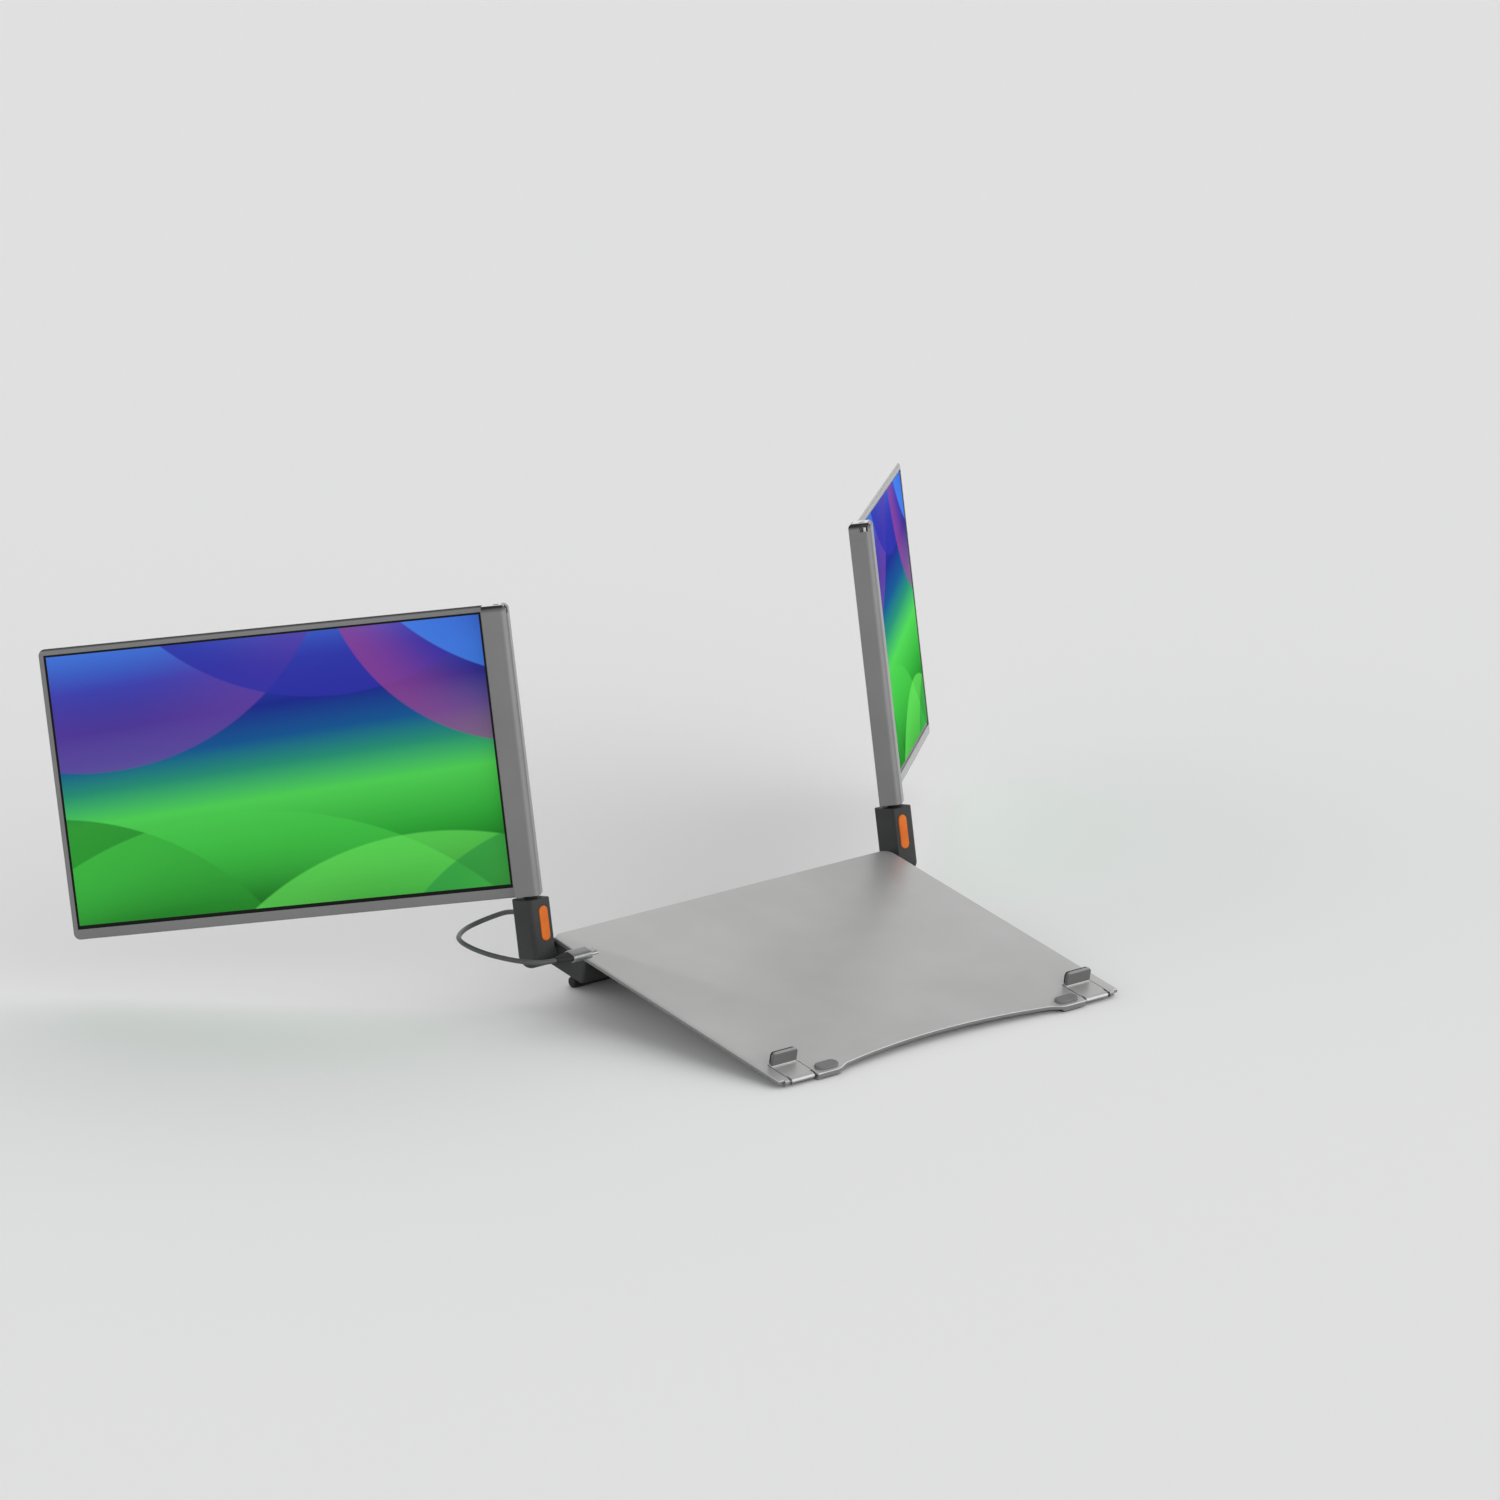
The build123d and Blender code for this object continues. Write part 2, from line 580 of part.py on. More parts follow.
def make_screen_frame(side, name):
    frame = display_frame(side)
    with BuildPart() as bezel:
        with BuildSketch(facing(frame, PANEL_FRONT)):
            panel_outline(side, radius=CORNER_R)
            panel_rectangle(
                side, ACTIVE_X0 - BORDER_SIDE, ACTIVE_X1 + BORDER_SIDE,
                ACTIVE_Z0 - BORDER_BOTTOM, ACTIVE_Z1 + BORDER_SIDE, mode=Mode.SUBTRACT,
            )
        extrude(amount=-BEZEL_T)
        with BuildSketch(facing(frame, PANEL_FRONT + BEZEL_T)):
            panel_outline(side, radius=CORNER_R)
            panel_outline(side, inset=RIM_W, inner=RIM_W, radius=CORNER_R - RIM_W, mode=Mode.SUBTRACT)
        extrude(amount=-(RIM_T - BEZEL_T))
        front = bezel.faces().sort_by(Axis((0, 0, 0), frame.y_dir))[0]
        spine_side = Axis((0, 0, 0), frame.x_dir * side)
        fillet(front.outer_wire().edges().sort_by(spine_side)[1:], BEZEL_R)
    save(bezel, f"screen_frame_{name}")


def make_back_cover(side, name):
    """Rear shell that draws in towards the back, open at the front and on the spine's side."""
    frame = display_frame(side)
    rim_y, floor_y = PANEL_FRONT + RIM_T, BACK_Y - BACK_T
    slope = TAPER / (BACK_Y - rim_y)
    with BuildPart() as cover:
        with BuildSketch(facing(frame, rim_y)):
            panel_outline(side, radius=CORNER_R)
        with BuildSketch(facing(frame, BACK_Y)):
            panel_outline(side, inset=TAPER, radius=CORNER_R)
        loft()
        back = cover.faces().sort_by(Axis((0, 0, 0), frame.y_dir))[-1]
        spine_side = Axis((0, 0, 0), frame.x_dir * side)
        fillet(back.edges().sort_by(spine_side)[1:], BACK_R)
        with BuildSketch(facing(frame, rim_y)):
            panel_outline(side, inset=SHELL_W, radius=CORNER_R - SHELL_W)
        with BuildSketch(facing(frame, floor_y)):
            panel_outline(side, inset=SHELL_W + slope * (floor_y - rim_y), radius=CORNER_R - SHELL_W)
        loft(mode=Mode.SUBTRACT)
    save(cover, f"back_cover_{name}")


def make_display_module(side, name):
    frame = display_frame(side)
    glass_front = PANEL_FRONT + BEZEL_T + FIT
    with BuildPart() as glass:
        with BuildSketch(facing(frame, glass_front)):
            panel_outline(side, inset=RIM_W + 0.1, inner=RIM_W + 0.1, radius=CORNER_R - RIM_W)
        extrude(amount=-0.7)
    save(glass, f"lcd_panel_{name}")

    # the light guide narrows with the rear shell
    light_front = glass_front + 0.7 + FIT
    with BuildPart() as light:
        with BuildSketch(facing(frame, light_front)):
            panel_outline(side, inset=3.5, inner=0.3, radius=2.2)
        extrude(amount=-0.85)
        with BuildSketch(facing(frame, light_front + 0.85)):
            panel_outline(side, inset=5.8, inner=0.3, radius=2.2)
            panel_outline(side, inset=8.8, inner=3.3, mode=Mode.SUBTRACT)
        extrude(amount=-1.2)
    save(light, f"backlight_{name}")

    board_front = BACK_Y - BACK_T - FIT - 1.2
    with BuildPart() as board:
        with BuildSketch(facing(frame, board_front)):
            panel_rectangle(side, 24, 104, 30, 62)
        extrude(amount=-1.2)
        with BuildSketch(facing(frame, board_front)):
            panel_rectangle(side, 34, 48, 38, 52)
            panel_rectangle(side, 60, 70, 36, 46)
            panel_rectangle(side, 78, 96, 42, 50)
        extrude(amount=0.8)
    save(board, f"driver_board_{name}")


def spine_outline(side):
    """Cross-section of the hinge edge, in the display frame's x and y."""
    width, depth = PANEL_X - SPINE_X, BACK_Y - SPINE_FRONT
    with BuildSketch() as outline:
        with Locations((side * (PANEL_X + SPINE_X) / 2, (BACK_Y + SPINE_FRONT) / 2)):
            Rectangle(width, depth)
        columns = outline.vertices().group_by(Axis.X)
        inner, outer = (columns[0], columns[-1]) if side > 0 else (columns[-1], columns[0])
        front_inner, rear_inner = inner.sort_by(Axis.Y)
        front_outer = outer.sort_by(Axis.Y)[0]
        fillet(front_inner, 4.5)
        fillet(rear_inner, 3.4)
        fillet(front_outer, 1.2)
    return outline.sketch


def make_spine(side, name):
    frame = display_frame(side)
    with BuildPart() as spine:
        with BuildSketch(frame.offset(SPINE_BOTTOM)):
            add(spine_outline(side))
            Circle(ROD_R + FIT, mode=Mode.SUBTRACT)
            # cable duct
            with Locations((side * 5.9, 1.2)):
                RectangleRounded(4.4, 9.6, 1.2, mode=Mode.SUBTRACT)
        extrude(amount=SPINE_TOP - SPINE_BOTTOM)
        # leaf that carries the rear shell from inside
        with BuildSketch(facing(frame, BACK_Y - BACK_T)):
            panel_rectangle(side, PANEL_X, PANEL_X + 7.5, PANEL_BOTTOM + 14, PANEL_TOP - 14)
        extrude(amount=1.2)
    save(spine, f"spine_{name}")

    with BuildPart() as cap:
        with BuildSketch(frame.offset(SPINE_TOP)):
            add(spine_outline(side))
            Circle(ROD_R + FIT, mode=Mode.SUBTRACT)
        extrude(amount=CAP_TOP - SPINE_TOP)
        # the cap's top is rounded towards the front, the rear and the laptop
        with BuildSketch(across(frame, -20)):
            with Locations(((SPINE_FRONT + BACK_Y) / 2, CAP_TOP - 10)):
                RectangleRounded(BACK_Y - SPINE_FRONT, 20, CAP_R)
        extrude(amount=40, mode=Mode.INTERSECT)
        with BuildSketch(facing(frame, -20)):
            with Locations((side * (SPINE_X + 20), CAP_TOP - 10)):
                RectangleRounded(40, 20, CAP_SIDE_R)
        extrude(amount=-40, mode=Mode.INTERSECT)
        # pocket on the side that faces the laptop
        with BuildSketch(frame.offset(SPINE_TOP)):
            with Locations((side * (SPINE_X + 2.2), SPINE_FRONT + 4.9)):
                Rectangle(4.4, 5.6)
        extrude(amount=CAP_TOP - SPINE_TOP - 1.0, mode=Mode.SUBTRACT)
    save(cap, f"spine_cap_{name}")

    with BuildPart() as stud:
        with BuildSketch(frame.offset(SPINE_TOP)):
            with Locations((side * (SPINE_X + 2.4), SPINE_FRONT + 4.6)):
                Circle(1.7)
        extrude(amount=3.2)
        fillet(stud.faces().sort_by(Axis((0, 0, 0), frame.z_dir))[-1].edges(), 0.4)
    save(stud, f"hinge_stud_{name}")

    with BuildPart() as rod:
        with BuildSketch(frame.offset(BUSH_BOTTOM + 1.1)):
            Circle(ROD_R)
        extrude(amount=CAP_TOP - 0.3 - BUSH_BOTTOM - 1.1)
    save(rod, f"swivel_rod_{name}")


# ---------------------------------------------------------------- lead
def make_cord_relief():
    frame = column_frame(-1)
    with BuildPart() as relief:
        with BuildSketch(facing(frame, COLUMN_REAR - 3.5)):
            with Locations((0, RELIEF_Z)):
                Circle(2.6)
        extrude(amount=-3.5)
        with BuildSketch(facing(frame, COLUMN_REAR)):
            with Locations((0, RELIEF_Z)):
                Circle(3.4)
        with BuildSketch(facing(frame, COLUMN_REAR + RELIEF_L)):
            with Locations((0, RELIEF_Z)):
                Circle(2.2)
        loft()
    save(relief, "cord_relief")


def cord_route():
    relief_end = column_frame(-1).from_local_coords((0, COLUMN_REAR + RELIEF_L, RELIEF_Z))
    second = column_frame(-1).from_local_coords((0, 26.3, RELIEF_Z))
    free = [
        Vector(x - WIDTH_MIDDLE, y - DEPTH_MIDDLE, z + LAPTOP_EDGE_Z) for x, y, z in LEAD_ROUTE
    ]
    return [relief_end, second] + free


def make_cord():
    points = cord_route()
    runs = [b - a for a, b in zip(points, points[1:])]
    radii = []
    for before, after in zip(runs, runs[1:]):
        turn = radians(before.get_angle(after))
        radii.append(0.45 * min(before.length, after.length) / tan(turn / 2))
    with BuildPart() as cord:
        with BuildLine() as path:
            FilletPolyline(*points, radius=radii)
        with BuildSketch(Plane(origin=path.line @ 0, z_dir=path.line % 0)):
            Circle(LEAD_R)
        sweep()
    save(cord, "cord")
    length = path.wire().length
    print("cord radii", [round(r, 1) for r in radii])
    print("cord length", round(length, 1), "volume/section", round(cord.part.volume / (3.14159 * LEAD_R**2), 1))


def plug_frame(x):
    """Looks along the plug towards the laptop; sketch x runs along the tray's side."""
    slope = radians(TRAY_SLOPE)
    return Plane(
        origin=(x - WIDTH_MIDDLE, PLUG_Y - DEPTH_MIDDLE, PLUG_Z + LAPTOP_EDGE_Z),
        x_dir=(0, cos(slope), sin(slope)), z_dir=(1, 0, 0),
    )


def make_plug():
    with BuildPart() as boot:
        with BuildSketch(plug_frame(-186.0)):
            SlotOverall(4.8, 4.4)
        with BuildSketch(plug_frame(-174.2)):
            SlotOverall(9.4, 4.8)
        loft()
    save(boot, "plug_boot")

    with BuildPart() as body:
        with BuildSketch(plug_frame(-174.2)):
            RectangleRounded(11.0, 5.8, 2.6)
        extrude(amount=16.2)
        fillet(body.faces().sort_by(Axis.X)[-1].edges(), 0.6)
        fillet(body.faces().sort_by(Axis.X)[0].edges(), 0.4)
    save(body, "plug_body")

    with BuildPart() as tip:
        with BuildSketch(plug_frame(-158.0)):
            SlotOverall(8.34, 2.56)
            SlotOverall(7.6, 1.8, mode=Mode.SUBTRACT)
        extrude(amount=5.7)
        with BuildSketch(plug_frame(-158.0)):
            SlotOverall(8.34, 2.56)
        extrude(amount=0.6)
        with BuildSketch(plug_frame(-158.0)):
            Rectangle(6.4, 0.7)
        extrude(amount=4.9)
    save(tip, "plug_tip")


# ---------------------------------------------------------------- build
os.makedirs("parts", exist_ok=True)
make_tray()
make_bumpers_and_feet()
make_housing_screws()
make_flap_pins()
make_kickstand()
for side_name, side_sign in SIDES.items():
    make_tilt_housing(side_sign, side_name)
    make_hook_flap(side_sign, side_name)
    make_column(side_sign, side_name)
    make_release_button(side_sign, side_name)
    make_tilt_hinge(side_sign, side_name)
    make_swivel_bush(side_sign, side_name)
    make_screen_frame(side_sign, side_name)
    make_back_cover(side_sign, side_name)
    make_display_module(side_sign, side_name)
    make_spine(side_sign, side_name)
make_cord_relief()
make_cord()
make_plug()
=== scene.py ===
"""Laptop screen extender: finishes, pictures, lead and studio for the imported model.

Metres, +Z up, +Y away from the user, in the model's own frame.
"""
from math import radians

import bpy
import bmesh
from mathutils import Matrix, Vector


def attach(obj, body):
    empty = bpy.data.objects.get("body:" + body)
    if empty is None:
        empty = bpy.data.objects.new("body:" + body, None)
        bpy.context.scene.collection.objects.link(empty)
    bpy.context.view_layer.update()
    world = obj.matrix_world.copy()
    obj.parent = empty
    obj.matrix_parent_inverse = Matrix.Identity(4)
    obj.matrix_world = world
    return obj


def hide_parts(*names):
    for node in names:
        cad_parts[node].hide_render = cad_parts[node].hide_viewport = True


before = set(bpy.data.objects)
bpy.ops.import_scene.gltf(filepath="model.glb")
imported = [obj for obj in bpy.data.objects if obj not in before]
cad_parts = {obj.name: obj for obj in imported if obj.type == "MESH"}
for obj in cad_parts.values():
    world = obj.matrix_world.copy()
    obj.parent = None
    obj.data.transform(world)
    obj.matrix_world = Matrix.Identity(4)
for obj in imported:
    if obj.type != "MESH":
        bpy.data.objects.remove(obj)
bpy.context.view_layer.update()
MM = 0.001
SIDES = {"left": -1, "right": 1}

bl_info = {
    "name": "Laptop Screen Extender",
    "version": (1, 0, 0),
    "blender": (4, 5, 0),
    "location": "3D View > Sidebar > Extender",
    "description": "Finishes, pictures, lead and studio of a laptop screen extender",
    "category": "Object",
}

# ------------------------------------------------------------ sizes shared with the solids, in mm
WIDTH_MIDDLE, DEPTH_MIDDLE = 4.062, 229.015     # laptop's front middle to the middle of the assembly
TRAY_SLOPE = 10.635                             # degrees, front edge low
TRAY_RISE, TRAY_SETBACK = 9.508, 2.233          # tray's top face at the laptop's front edge
COLUMN_LEAN = 10.0                              # degrees
DISPLAY_SWING = {-1: 45.5, 1: 43.4}             # degrees
AXIS = (163.75, 222.184, 70.662)                # column frames, from the laptop's front middle
LAPTOP_EDGE_Z = 21.4
LEAD_ROUTE = [               # y from the laptop's front edge, z above that edge
    (-163.75, 237.374, 42.116), (-163.75, 247.32, 40.362),
    (-169.1, 256.3, 35.9), (-178.8, 260.8, 32.5), (-190.0, 259.7, 31.0), (-203.5, 250.3, 32.0),
    (-216.2, 236.7, 33.7), (-222.5, 217.6, 34.4), (-221.9, 196.6, 33.7), (-212.6, 178.2, 31.8),
    (-196.6, 169.8, 28.9), (-186.0, 169.8, 28.9),
]
GLASS_Y = 3.35               # front of the glass in the display frame

# ------------------------------------------------------------ places of what the scene adds, in mm
# pictures, in the display frame: the lit area inside the glass's black border
PICTURE_X = (12.8, 309.0)
PICTURE_Z = (16.5, 201.5)
PICTURE_GAP, PICTURE_THICKNESS = 0.01, 0.03     # between the glass and the slab, and through the slab
# grip ribs in the hook pads, in the tray frame, sunk until they stand just proud of the pads' face
PAD_RIB_X = (122.8, 141.2)
PAD_RIB_Y = -0.22
PAD_RIB_Z = (1.4, 8.0)
PAD_RIB_R = 0.24
# rings on the lead's strain relief, in the left column's frame
RELIEF_RING_Y = (12.3, 15.2)
RELIEF_RING_Z = -4.4
RELIEF_RING_RADII = (3.15, 2.4)
RELIEF_RING_R = 0.42

# ------------------------------------------------------------ tones by height, in mm
# tray, over its top face: edges and underside below in painted shade, pale face above, and how metallic they
# are
TRAY_EDGE_SHADE = (-0.8, -0.6)
TRAY_METAL = (0.55, 0.6)
# flaps, over the tray's top face: underside in painted shade, sheet, painted highlight at the hook's foot, coat
# and a painted highlight on its top
FLAP_SPAN = (-4.0, 10.0)
FLAP_TONES_AND_PAINTED_LIGHT = [
    (-2.3, "#868685"), (-1.9, "#C2C2C1"), (0.2, "#C2C2C1"), (0.3, "#E0E0DF"), (0.8, "#E0E0DF"),
    (0.9, "#606060"), (8.8, "#606060"), (9.6, "#909090"),
]
HOOK_COAT = (0.88, 0.96)
HOOK_METAL = (0.6, 0.0)
# middle of a flap from the laptop's middle, and where the painted shade of its seam starts on either side of
# that
FLAP_MIDDLE = 132.0
FLAP_SEAM_SHADE = (10.95, 11.05)
# displays, up their hinge axes: from, to and tone of a painted dark reflection on the shells' upper rim, and of
# painted shade and highlight on the caps
RIM_DARK_REFLECTION = [(205.7, 206.2, "#404040")]
CAP_SHADE_AND_HIGHLIGHT = [(202.8, 205.6, "#383838"), (207.25, 207.38, "#D2D2D2")]

# ------------------------------------------------------------ grain of the surfaces
NOISE_SPAN = (0.3, 0.7)      # most of a noise texture's values lie between these
SHEET_GRAIN, SHEET_RELIEF = 0.45, 0.002         # mm, width and height of the blasted sheet's grain
SHEET_ROUGHNESS = (0.36, 0.44)

# ------------------------------------------------------------ camera, light and mesh, in metres
CAMERA_PLACE = (-3.821202, -4.478585, 1.88474)
CAMERA_AIM = Vector((0.62556, 0.72702, -0.28305))
KEY_AIM = Vector((-0.55, -0.25, -1.0))
KEY_ANGLE = radians(70)
BRIGHT_WALL = (0.62, -0.78, 0.0)                # toward the brightest wall
BRIGHT_WALL_FADE = (0.2, 0.95)
ROOM_TONES = [               # from straight below and the horizon to straight above
    (0.0, "#FFFFFF"), (0.45, "#FFFFFF"), (0.75, "#787879"), (1.0, "#707071"),
]
FLOOR_REACH = 30
WELD_DISTANCE = 2e-6


def mm(*point):
    return Vector(point) * MM


def column_frame(side):
    """The column's frame as a matrix: x across, y behind, z up the swivel axis."""
    place = Matrix.Translation(mm(side * AXIS[0] - WIDTH_MIDDLE, AXIS[1] - DEPTH_MIDDLE, AXIS[2]))
    return place @ Matrix.Rotation(radians(-COLUMN_LEAN), 4, "X")


def display_frame(side):
    """The column's frame, turned to its display's place."""
    return column_frame(side) @ Matrix.Rotation(radians(side * DISPLAY_SWING[side]), 4, "Z")


def tray_frame():
    """Origin on the tray's top face at the laptop's front edge, y along the tray."""
    place = Matrix.Translation(mm(-WIDTH_MIDDLE, TRAY_SETBACK - DEPTH_MIDDLE, TRAY_RISE))
    return place @ Matrix.Rotation(radians(TRAY_SLOPE), 4, "X")


def linear(hex_colour):
    """An sRGB hex value as linear red, green, blue and full alpha."""
    parts = [int(hex_colour[i:i + 2], 16) / 255 for i in (1, 3, 5)]
    straight = [c / 12.92 if c <= 0.04045 else ((c + 0.055) / 1.055) ** 2.4 for c in parts]
    return (*straight, 1.0)


# ------------------------------------------------------------ shader and mesh helpers
def add(tree, kind, values=None, links=None, **settings):
    """Adds a node with its settings, socket values and links."""
    node = tree.nodes.new(kind)
    for name, value in settings.items():
        setattr(node, name, value)
    for socket, value in (values or {}).items():
        node.inputs[socket].default_value = value
    for socket, source in (links or {}).items():
        tree.links.new(source, node.inputs[socket])
    return node


def ramp(tree, factor, stops):
    """A colour ramp from (position, hex colour) stops."""
    node = add(tree, "ShaderNodeValToRGB", links={"Fac": factor})
    elements = node.color_ramp.elements
    stops = list(stops)
    while len(elements) < len(stops):
        elements.new(0.5)
    for element, (position, colour) in zip(elements, stops):
        element.position = position
        element.color = linear(colour)
    return node.outputs["Color"]


def mix(tree, factor, below, above):
    """Blends two colours, each a hex value or a socket."""
    node = add(tree, "ShaderNodeMix", links={0: factor}, data_type="RGBA")
    for socket, colour in ((6, below), (7, above)):
        if isinstance(colour, str):
            node.inputs[socket].default_value = linear(colour)
        else:
            tree.links.new(colour, node.inputs[socket])
    return node.outputs[2]


def band(tree, value, low, high, start=0.0, end=1.0, **settings):
    """Runs from start to end while a value goes from low to high."""
    return add(
        tree, "ShaderNodeMapRange", {"From Min": low, "From Max": high, "To Min": start, "To Max": end},
        {"Value": value}, **settings,
    ).outputs[0]


def new_material(name):
    material = bpy.data.materials.new(name)
    material.use_nodes = True
    material.node_tree.nodes.clear()
    return material, material.node_tree


def finish(
    name, colours, roughness, metallic=0.0, cloud=30.0, grit=0.5, relief=0.02, stretch=(1, 1, 1), shade=None,
    **sockets,
):
    """A surface whose colour drifts softly, with a fine relief.

    cloud and grit are the sizes of the drift and of the relief's grain in millimetres, and relief is its
    height. stretch scales the grain's place along each axis. shade, where given, turns the drifting colour
    into one that also depends on the place.
    """
    material, tree = new_material(name)
    place = add(tree, "ShaderNodeTexCoord").outputs["Object"]
    grain_place = add(tree, "ShaderNodeMapping", {"Scale": stretch}, {"Vector": place}).outputs["Vector"]
    drift = add(
        tree, "ShaderNodeTexNoise", {"Scale": 1 / (cloud * MM), "Detail": 3.0, "Roughness": 0.55},
        {"Vector": place},
    )
    grain = add(
        tree, "ShaderNodeTexNoise", {"Scale": 1 / (grit * MM), "Detail": 2.0, "Roughness": 0.6},
        {"Vector": grain_place},
    )
    colour = ramp(tree, drift.outputs["Fac"], zip(NOISE_SPAN, colours))
    if shade:
        colour = shade(tree, place, colour)
    gloss = band(tree, grain.outputs["Fac"], *NOISE_SPAN, *roughness)
    bump = add(
        tree, "ShaderNodeBump", {"Strength": 1.0, "Distance": relief * MM}, {"Height": grain.outputs["Fac"]}
    )
    shader = add(
        tree, "ShaderNodeBsdfPrincipled", {"Metallic": metallic, **sockets},
        {"Base Color": colour, "Roughness": gloss, "Normal": bump.outputs["Normal"]},
    )
    add(tree, "ShaderNodeOutputMaterial", links={"Surface": shader.outputs["BSDF"]})
    return material


# ------------------------------------------------------------ finishes
def height_in(tree, place, origin):
    """Millimetres up a frame's own z axis, and the place in metres from that frame's origin."""
    lifted = add(
        tree, "ShaderNodeVectorMath", {1: origin.translation}, {0: place}, operation="SUBTRACT"
    ).outputs["Vector"]
    height = add(
        tree, "ShaderNodeVectorMath", {1: origin.col[2].xyz / MM}, {0: lifted}, operation="DOT_PRODUCT"
    ).outputs["Value"]
    return height, lifted


def metal_sheet(tree, place, colour, metallic):
    """A blasted sheet's shader over a given colour."""
    grain = add(
        tree, "ShaderNodeTexNoise", {"Scale": 1 / (SHEET_GRAIN * MM), "Detail": 2.0}, {"Vector": place}
    )
    bump = add(tree, "ShaderNodeBump", {"Distance": SHEET_RELIEF * MM}, {"Height": grain.outputs["Fac"]})
    shader = add(tree, "ShaderNodeBsdfPrincipled", links={
        "Base Color": colour, "Roughness": band(tree, grain.outputs["Fac"], *NOISE_SPAN, *SHEET_ROUGHNESS),
        "Metallic": metallic, "Normal": bump.outputs["Normal"],
    })
    add(tree, "ShaderNodeOutputMaterial", links={"Surface": shader.outputs["BSDF"]})


def blasted_aluminium():
    # bead-blasted and clear anodised sheet: a pale top face, and edges and underside a darker grey as painted
    # shade
    material, tree = new_material("anodised_aluminium_blasted")
    place = add(tree, "ShaderNodeTexCoord").outputs["Object"]
    height, _ = height_in(tree, place, tray_frame())
    drift = add(tree, "ShaderNodeTexNoise", {"Scale": 1 / (60 * MM), "Detail": 3.0}, {"Vector": place})
    top = ramp(tree, drift.outputs["Fac"], zip(NOISE_SPAN, ("#BEBEBD", "#C6C6C5")))
    # painted shade: the edges and underside below the top face are darker
    colour = mix(tree, band(tree, height, *TRAY_EDGE_SHADE), "#868685", top)
    metal_sheet(tree, place, colour, band(tree, height, *TRAY_EDGE_SHADE, *TRAY_METAL))
    return material


def folded_aluminium():
    # anodised flap like the tray, its underside in painted shade; its hook wears a grey soft-touch coat, with a
    # painted highlight along the top and a painted highlight line at the foot; the seam beside the flap is
    # painted shade, drawn wider than it is, to be seen
    material, tree = new_material("anodised_aluminium_folded")
    place = add(tree, "ShaderNodeTexCoord").outputs["Object"]
    height, lifted = height_in(tree, place, tray_frame())
    across = add(tree, "ShaderNodeSeparateXYZ", links={"Vector": lifted}).outputs["X"]
    low, high = FLAP_SPAN
    # the underside is painted shade; the line at the hook's foot and the coat's top are painted highlights
    stops = [((at - low) / (high - low), tone) for at, tone in FLAP_TONES_AND_PAINTED_LIGHT]
    mirrored = add(tree, "ShaderNodeMath", links={0: across}, operation="ABSOLUTE").outputs[0]
    offset = add(tree, "ShaderNodeMath", {1: FLAP_MIDDLE * MM}, {0: mirrored}, operation="SUBTRACT").outputs[0]
    aside = add(tree, "ShaderNodeMath", links={0: offset}, operation="ABSOLUTE").outputs[0]
    # painted shade in the seam beside the flap, wider than the real gap
    seam = band(tree, aside, *(edge * MM for edge in FLAP_SEAM_SHADE))
    colour = mix(tree, seam, ramp(tree, band(tree, height, low, high), stops), "#1C1C1C")
    metal_sheet(tree, place, colour, band(tree, height, *HOOK_COAT, *HOOK_METAL))
    return material


def painted_light_by_height(steps):
    """A shade that blends in each tone of painted light and shade between two heights up the displays' parallel
    hinge axes.
    """
    def shade(tree, place, colour):
        height, _ = height_in(tree, place, column_frame(SIDES["right"]))
        for low, high, tone in steps:
            colour = mix(tree, band(tree, height, low, high), colour, tone)
        return colour
    return shade


def grey_shell():
    # mid-grey anodised shell of the displays: even, silky, with wide highlights and a painted dark reflection
    # on its upper rim
    return finish(
        "anodised_aluminium_grey_shell", ("#717171", "#777777"), (0.33, 0.39), 0.6, 80, 0.4, 0.0012,
        shade=painted_light_by_height(RIM_DARK_REFLECTION), **{"Coat Weight": 0.75, "Coat Roughness": 0.14},
    )


def drawn_spine():
    # extruded and brushed hinge edge: streaks run along its length
    return finish(
        "anodised_aluminium_drawn", ("#747474", "#7B7B7B"), (0.3, 0.35), 0.65, 60, 0.6, 0.0012, (1, 1, 0.05),
        **{"Coat Weight": 0.35, "Coat Roughness": 0.14},
    )


def painted_cap():
    # moulded ABS cap in metallic paint like the hinge edge, with painted shade round its shoulder and a painted
    # highlight on its top
    return finish(
        "abs_metallic_painted", ("#747474", "#7B7B7B"), (0.3, 0.36), 0.5, 30, 0.5, 0.0012,
        shade=painted_light_by_height(CAP_SHADE_AND_HIGHLIGHT), **{"Coat Weight": 0.35, "Coat Roughness": 0.14},
    )


def leg_plate():
    # anodised kickstand plate: mid grey, matt, with a faint drift from the bath
    return finish("anodised_aluminium_grey", ("#6A6B6B", "#727373"), (0.42, 0.54), 0.6, 50, 0.5, 0.003)


def column_abs():
    # spark-textured ABS: dark grey, dry to the touch, breaks the light up finely
    return finish(
        "abs_dark_grey_sparked", ("#2B2D2C", "#323433"), (0.42, 0.6), 0.0, 20, 0.5, 0.02,
        **{"Specular IOR Level": 0.3},
    )


def housing_abs():
    # coarser spark texture under the tray, almost black
    return finish("abs_black_sparked", ("#282929", "#303131"), (0.5, 0.66), 0.0, 20, 0.7, 0.03)


def orange_button():
    # silk-matt ABS, orange, with a slow drift in its depth
    return finish(
        "abs_orange_silk", ("#CE600C", "#DA7018"), (0.34, 0.46), 0.0, 12, 0.5, 0.01,
        **{"Specular IOR Level": 0.25},
    )


def black_rubber():
    # moulded nitrile rubber: black, dull, with a trace of bloom
    return finish("nitrile_rubber_black", ("#121212", "#1A1A19"), (0.62, 0.8), 0.0, 14, 0.7, 0.03)


def grey_silicone():
    # silicone bumper: mid grey, dull and even
    return finish("silicone_grey", ("#6C6C6C", "#747473"), (0.5, 0.65), 0.0, 8, 0.5, 0.02)


def cord_jacket():
    # extruded elastomer jacket: grey, satin, with a faint grain
    return finish("tpe_jacket_grey", ("#424444", "#4A4C4C"), (0.4, 0.52), 0.0, 9, 0.8, 0.015)


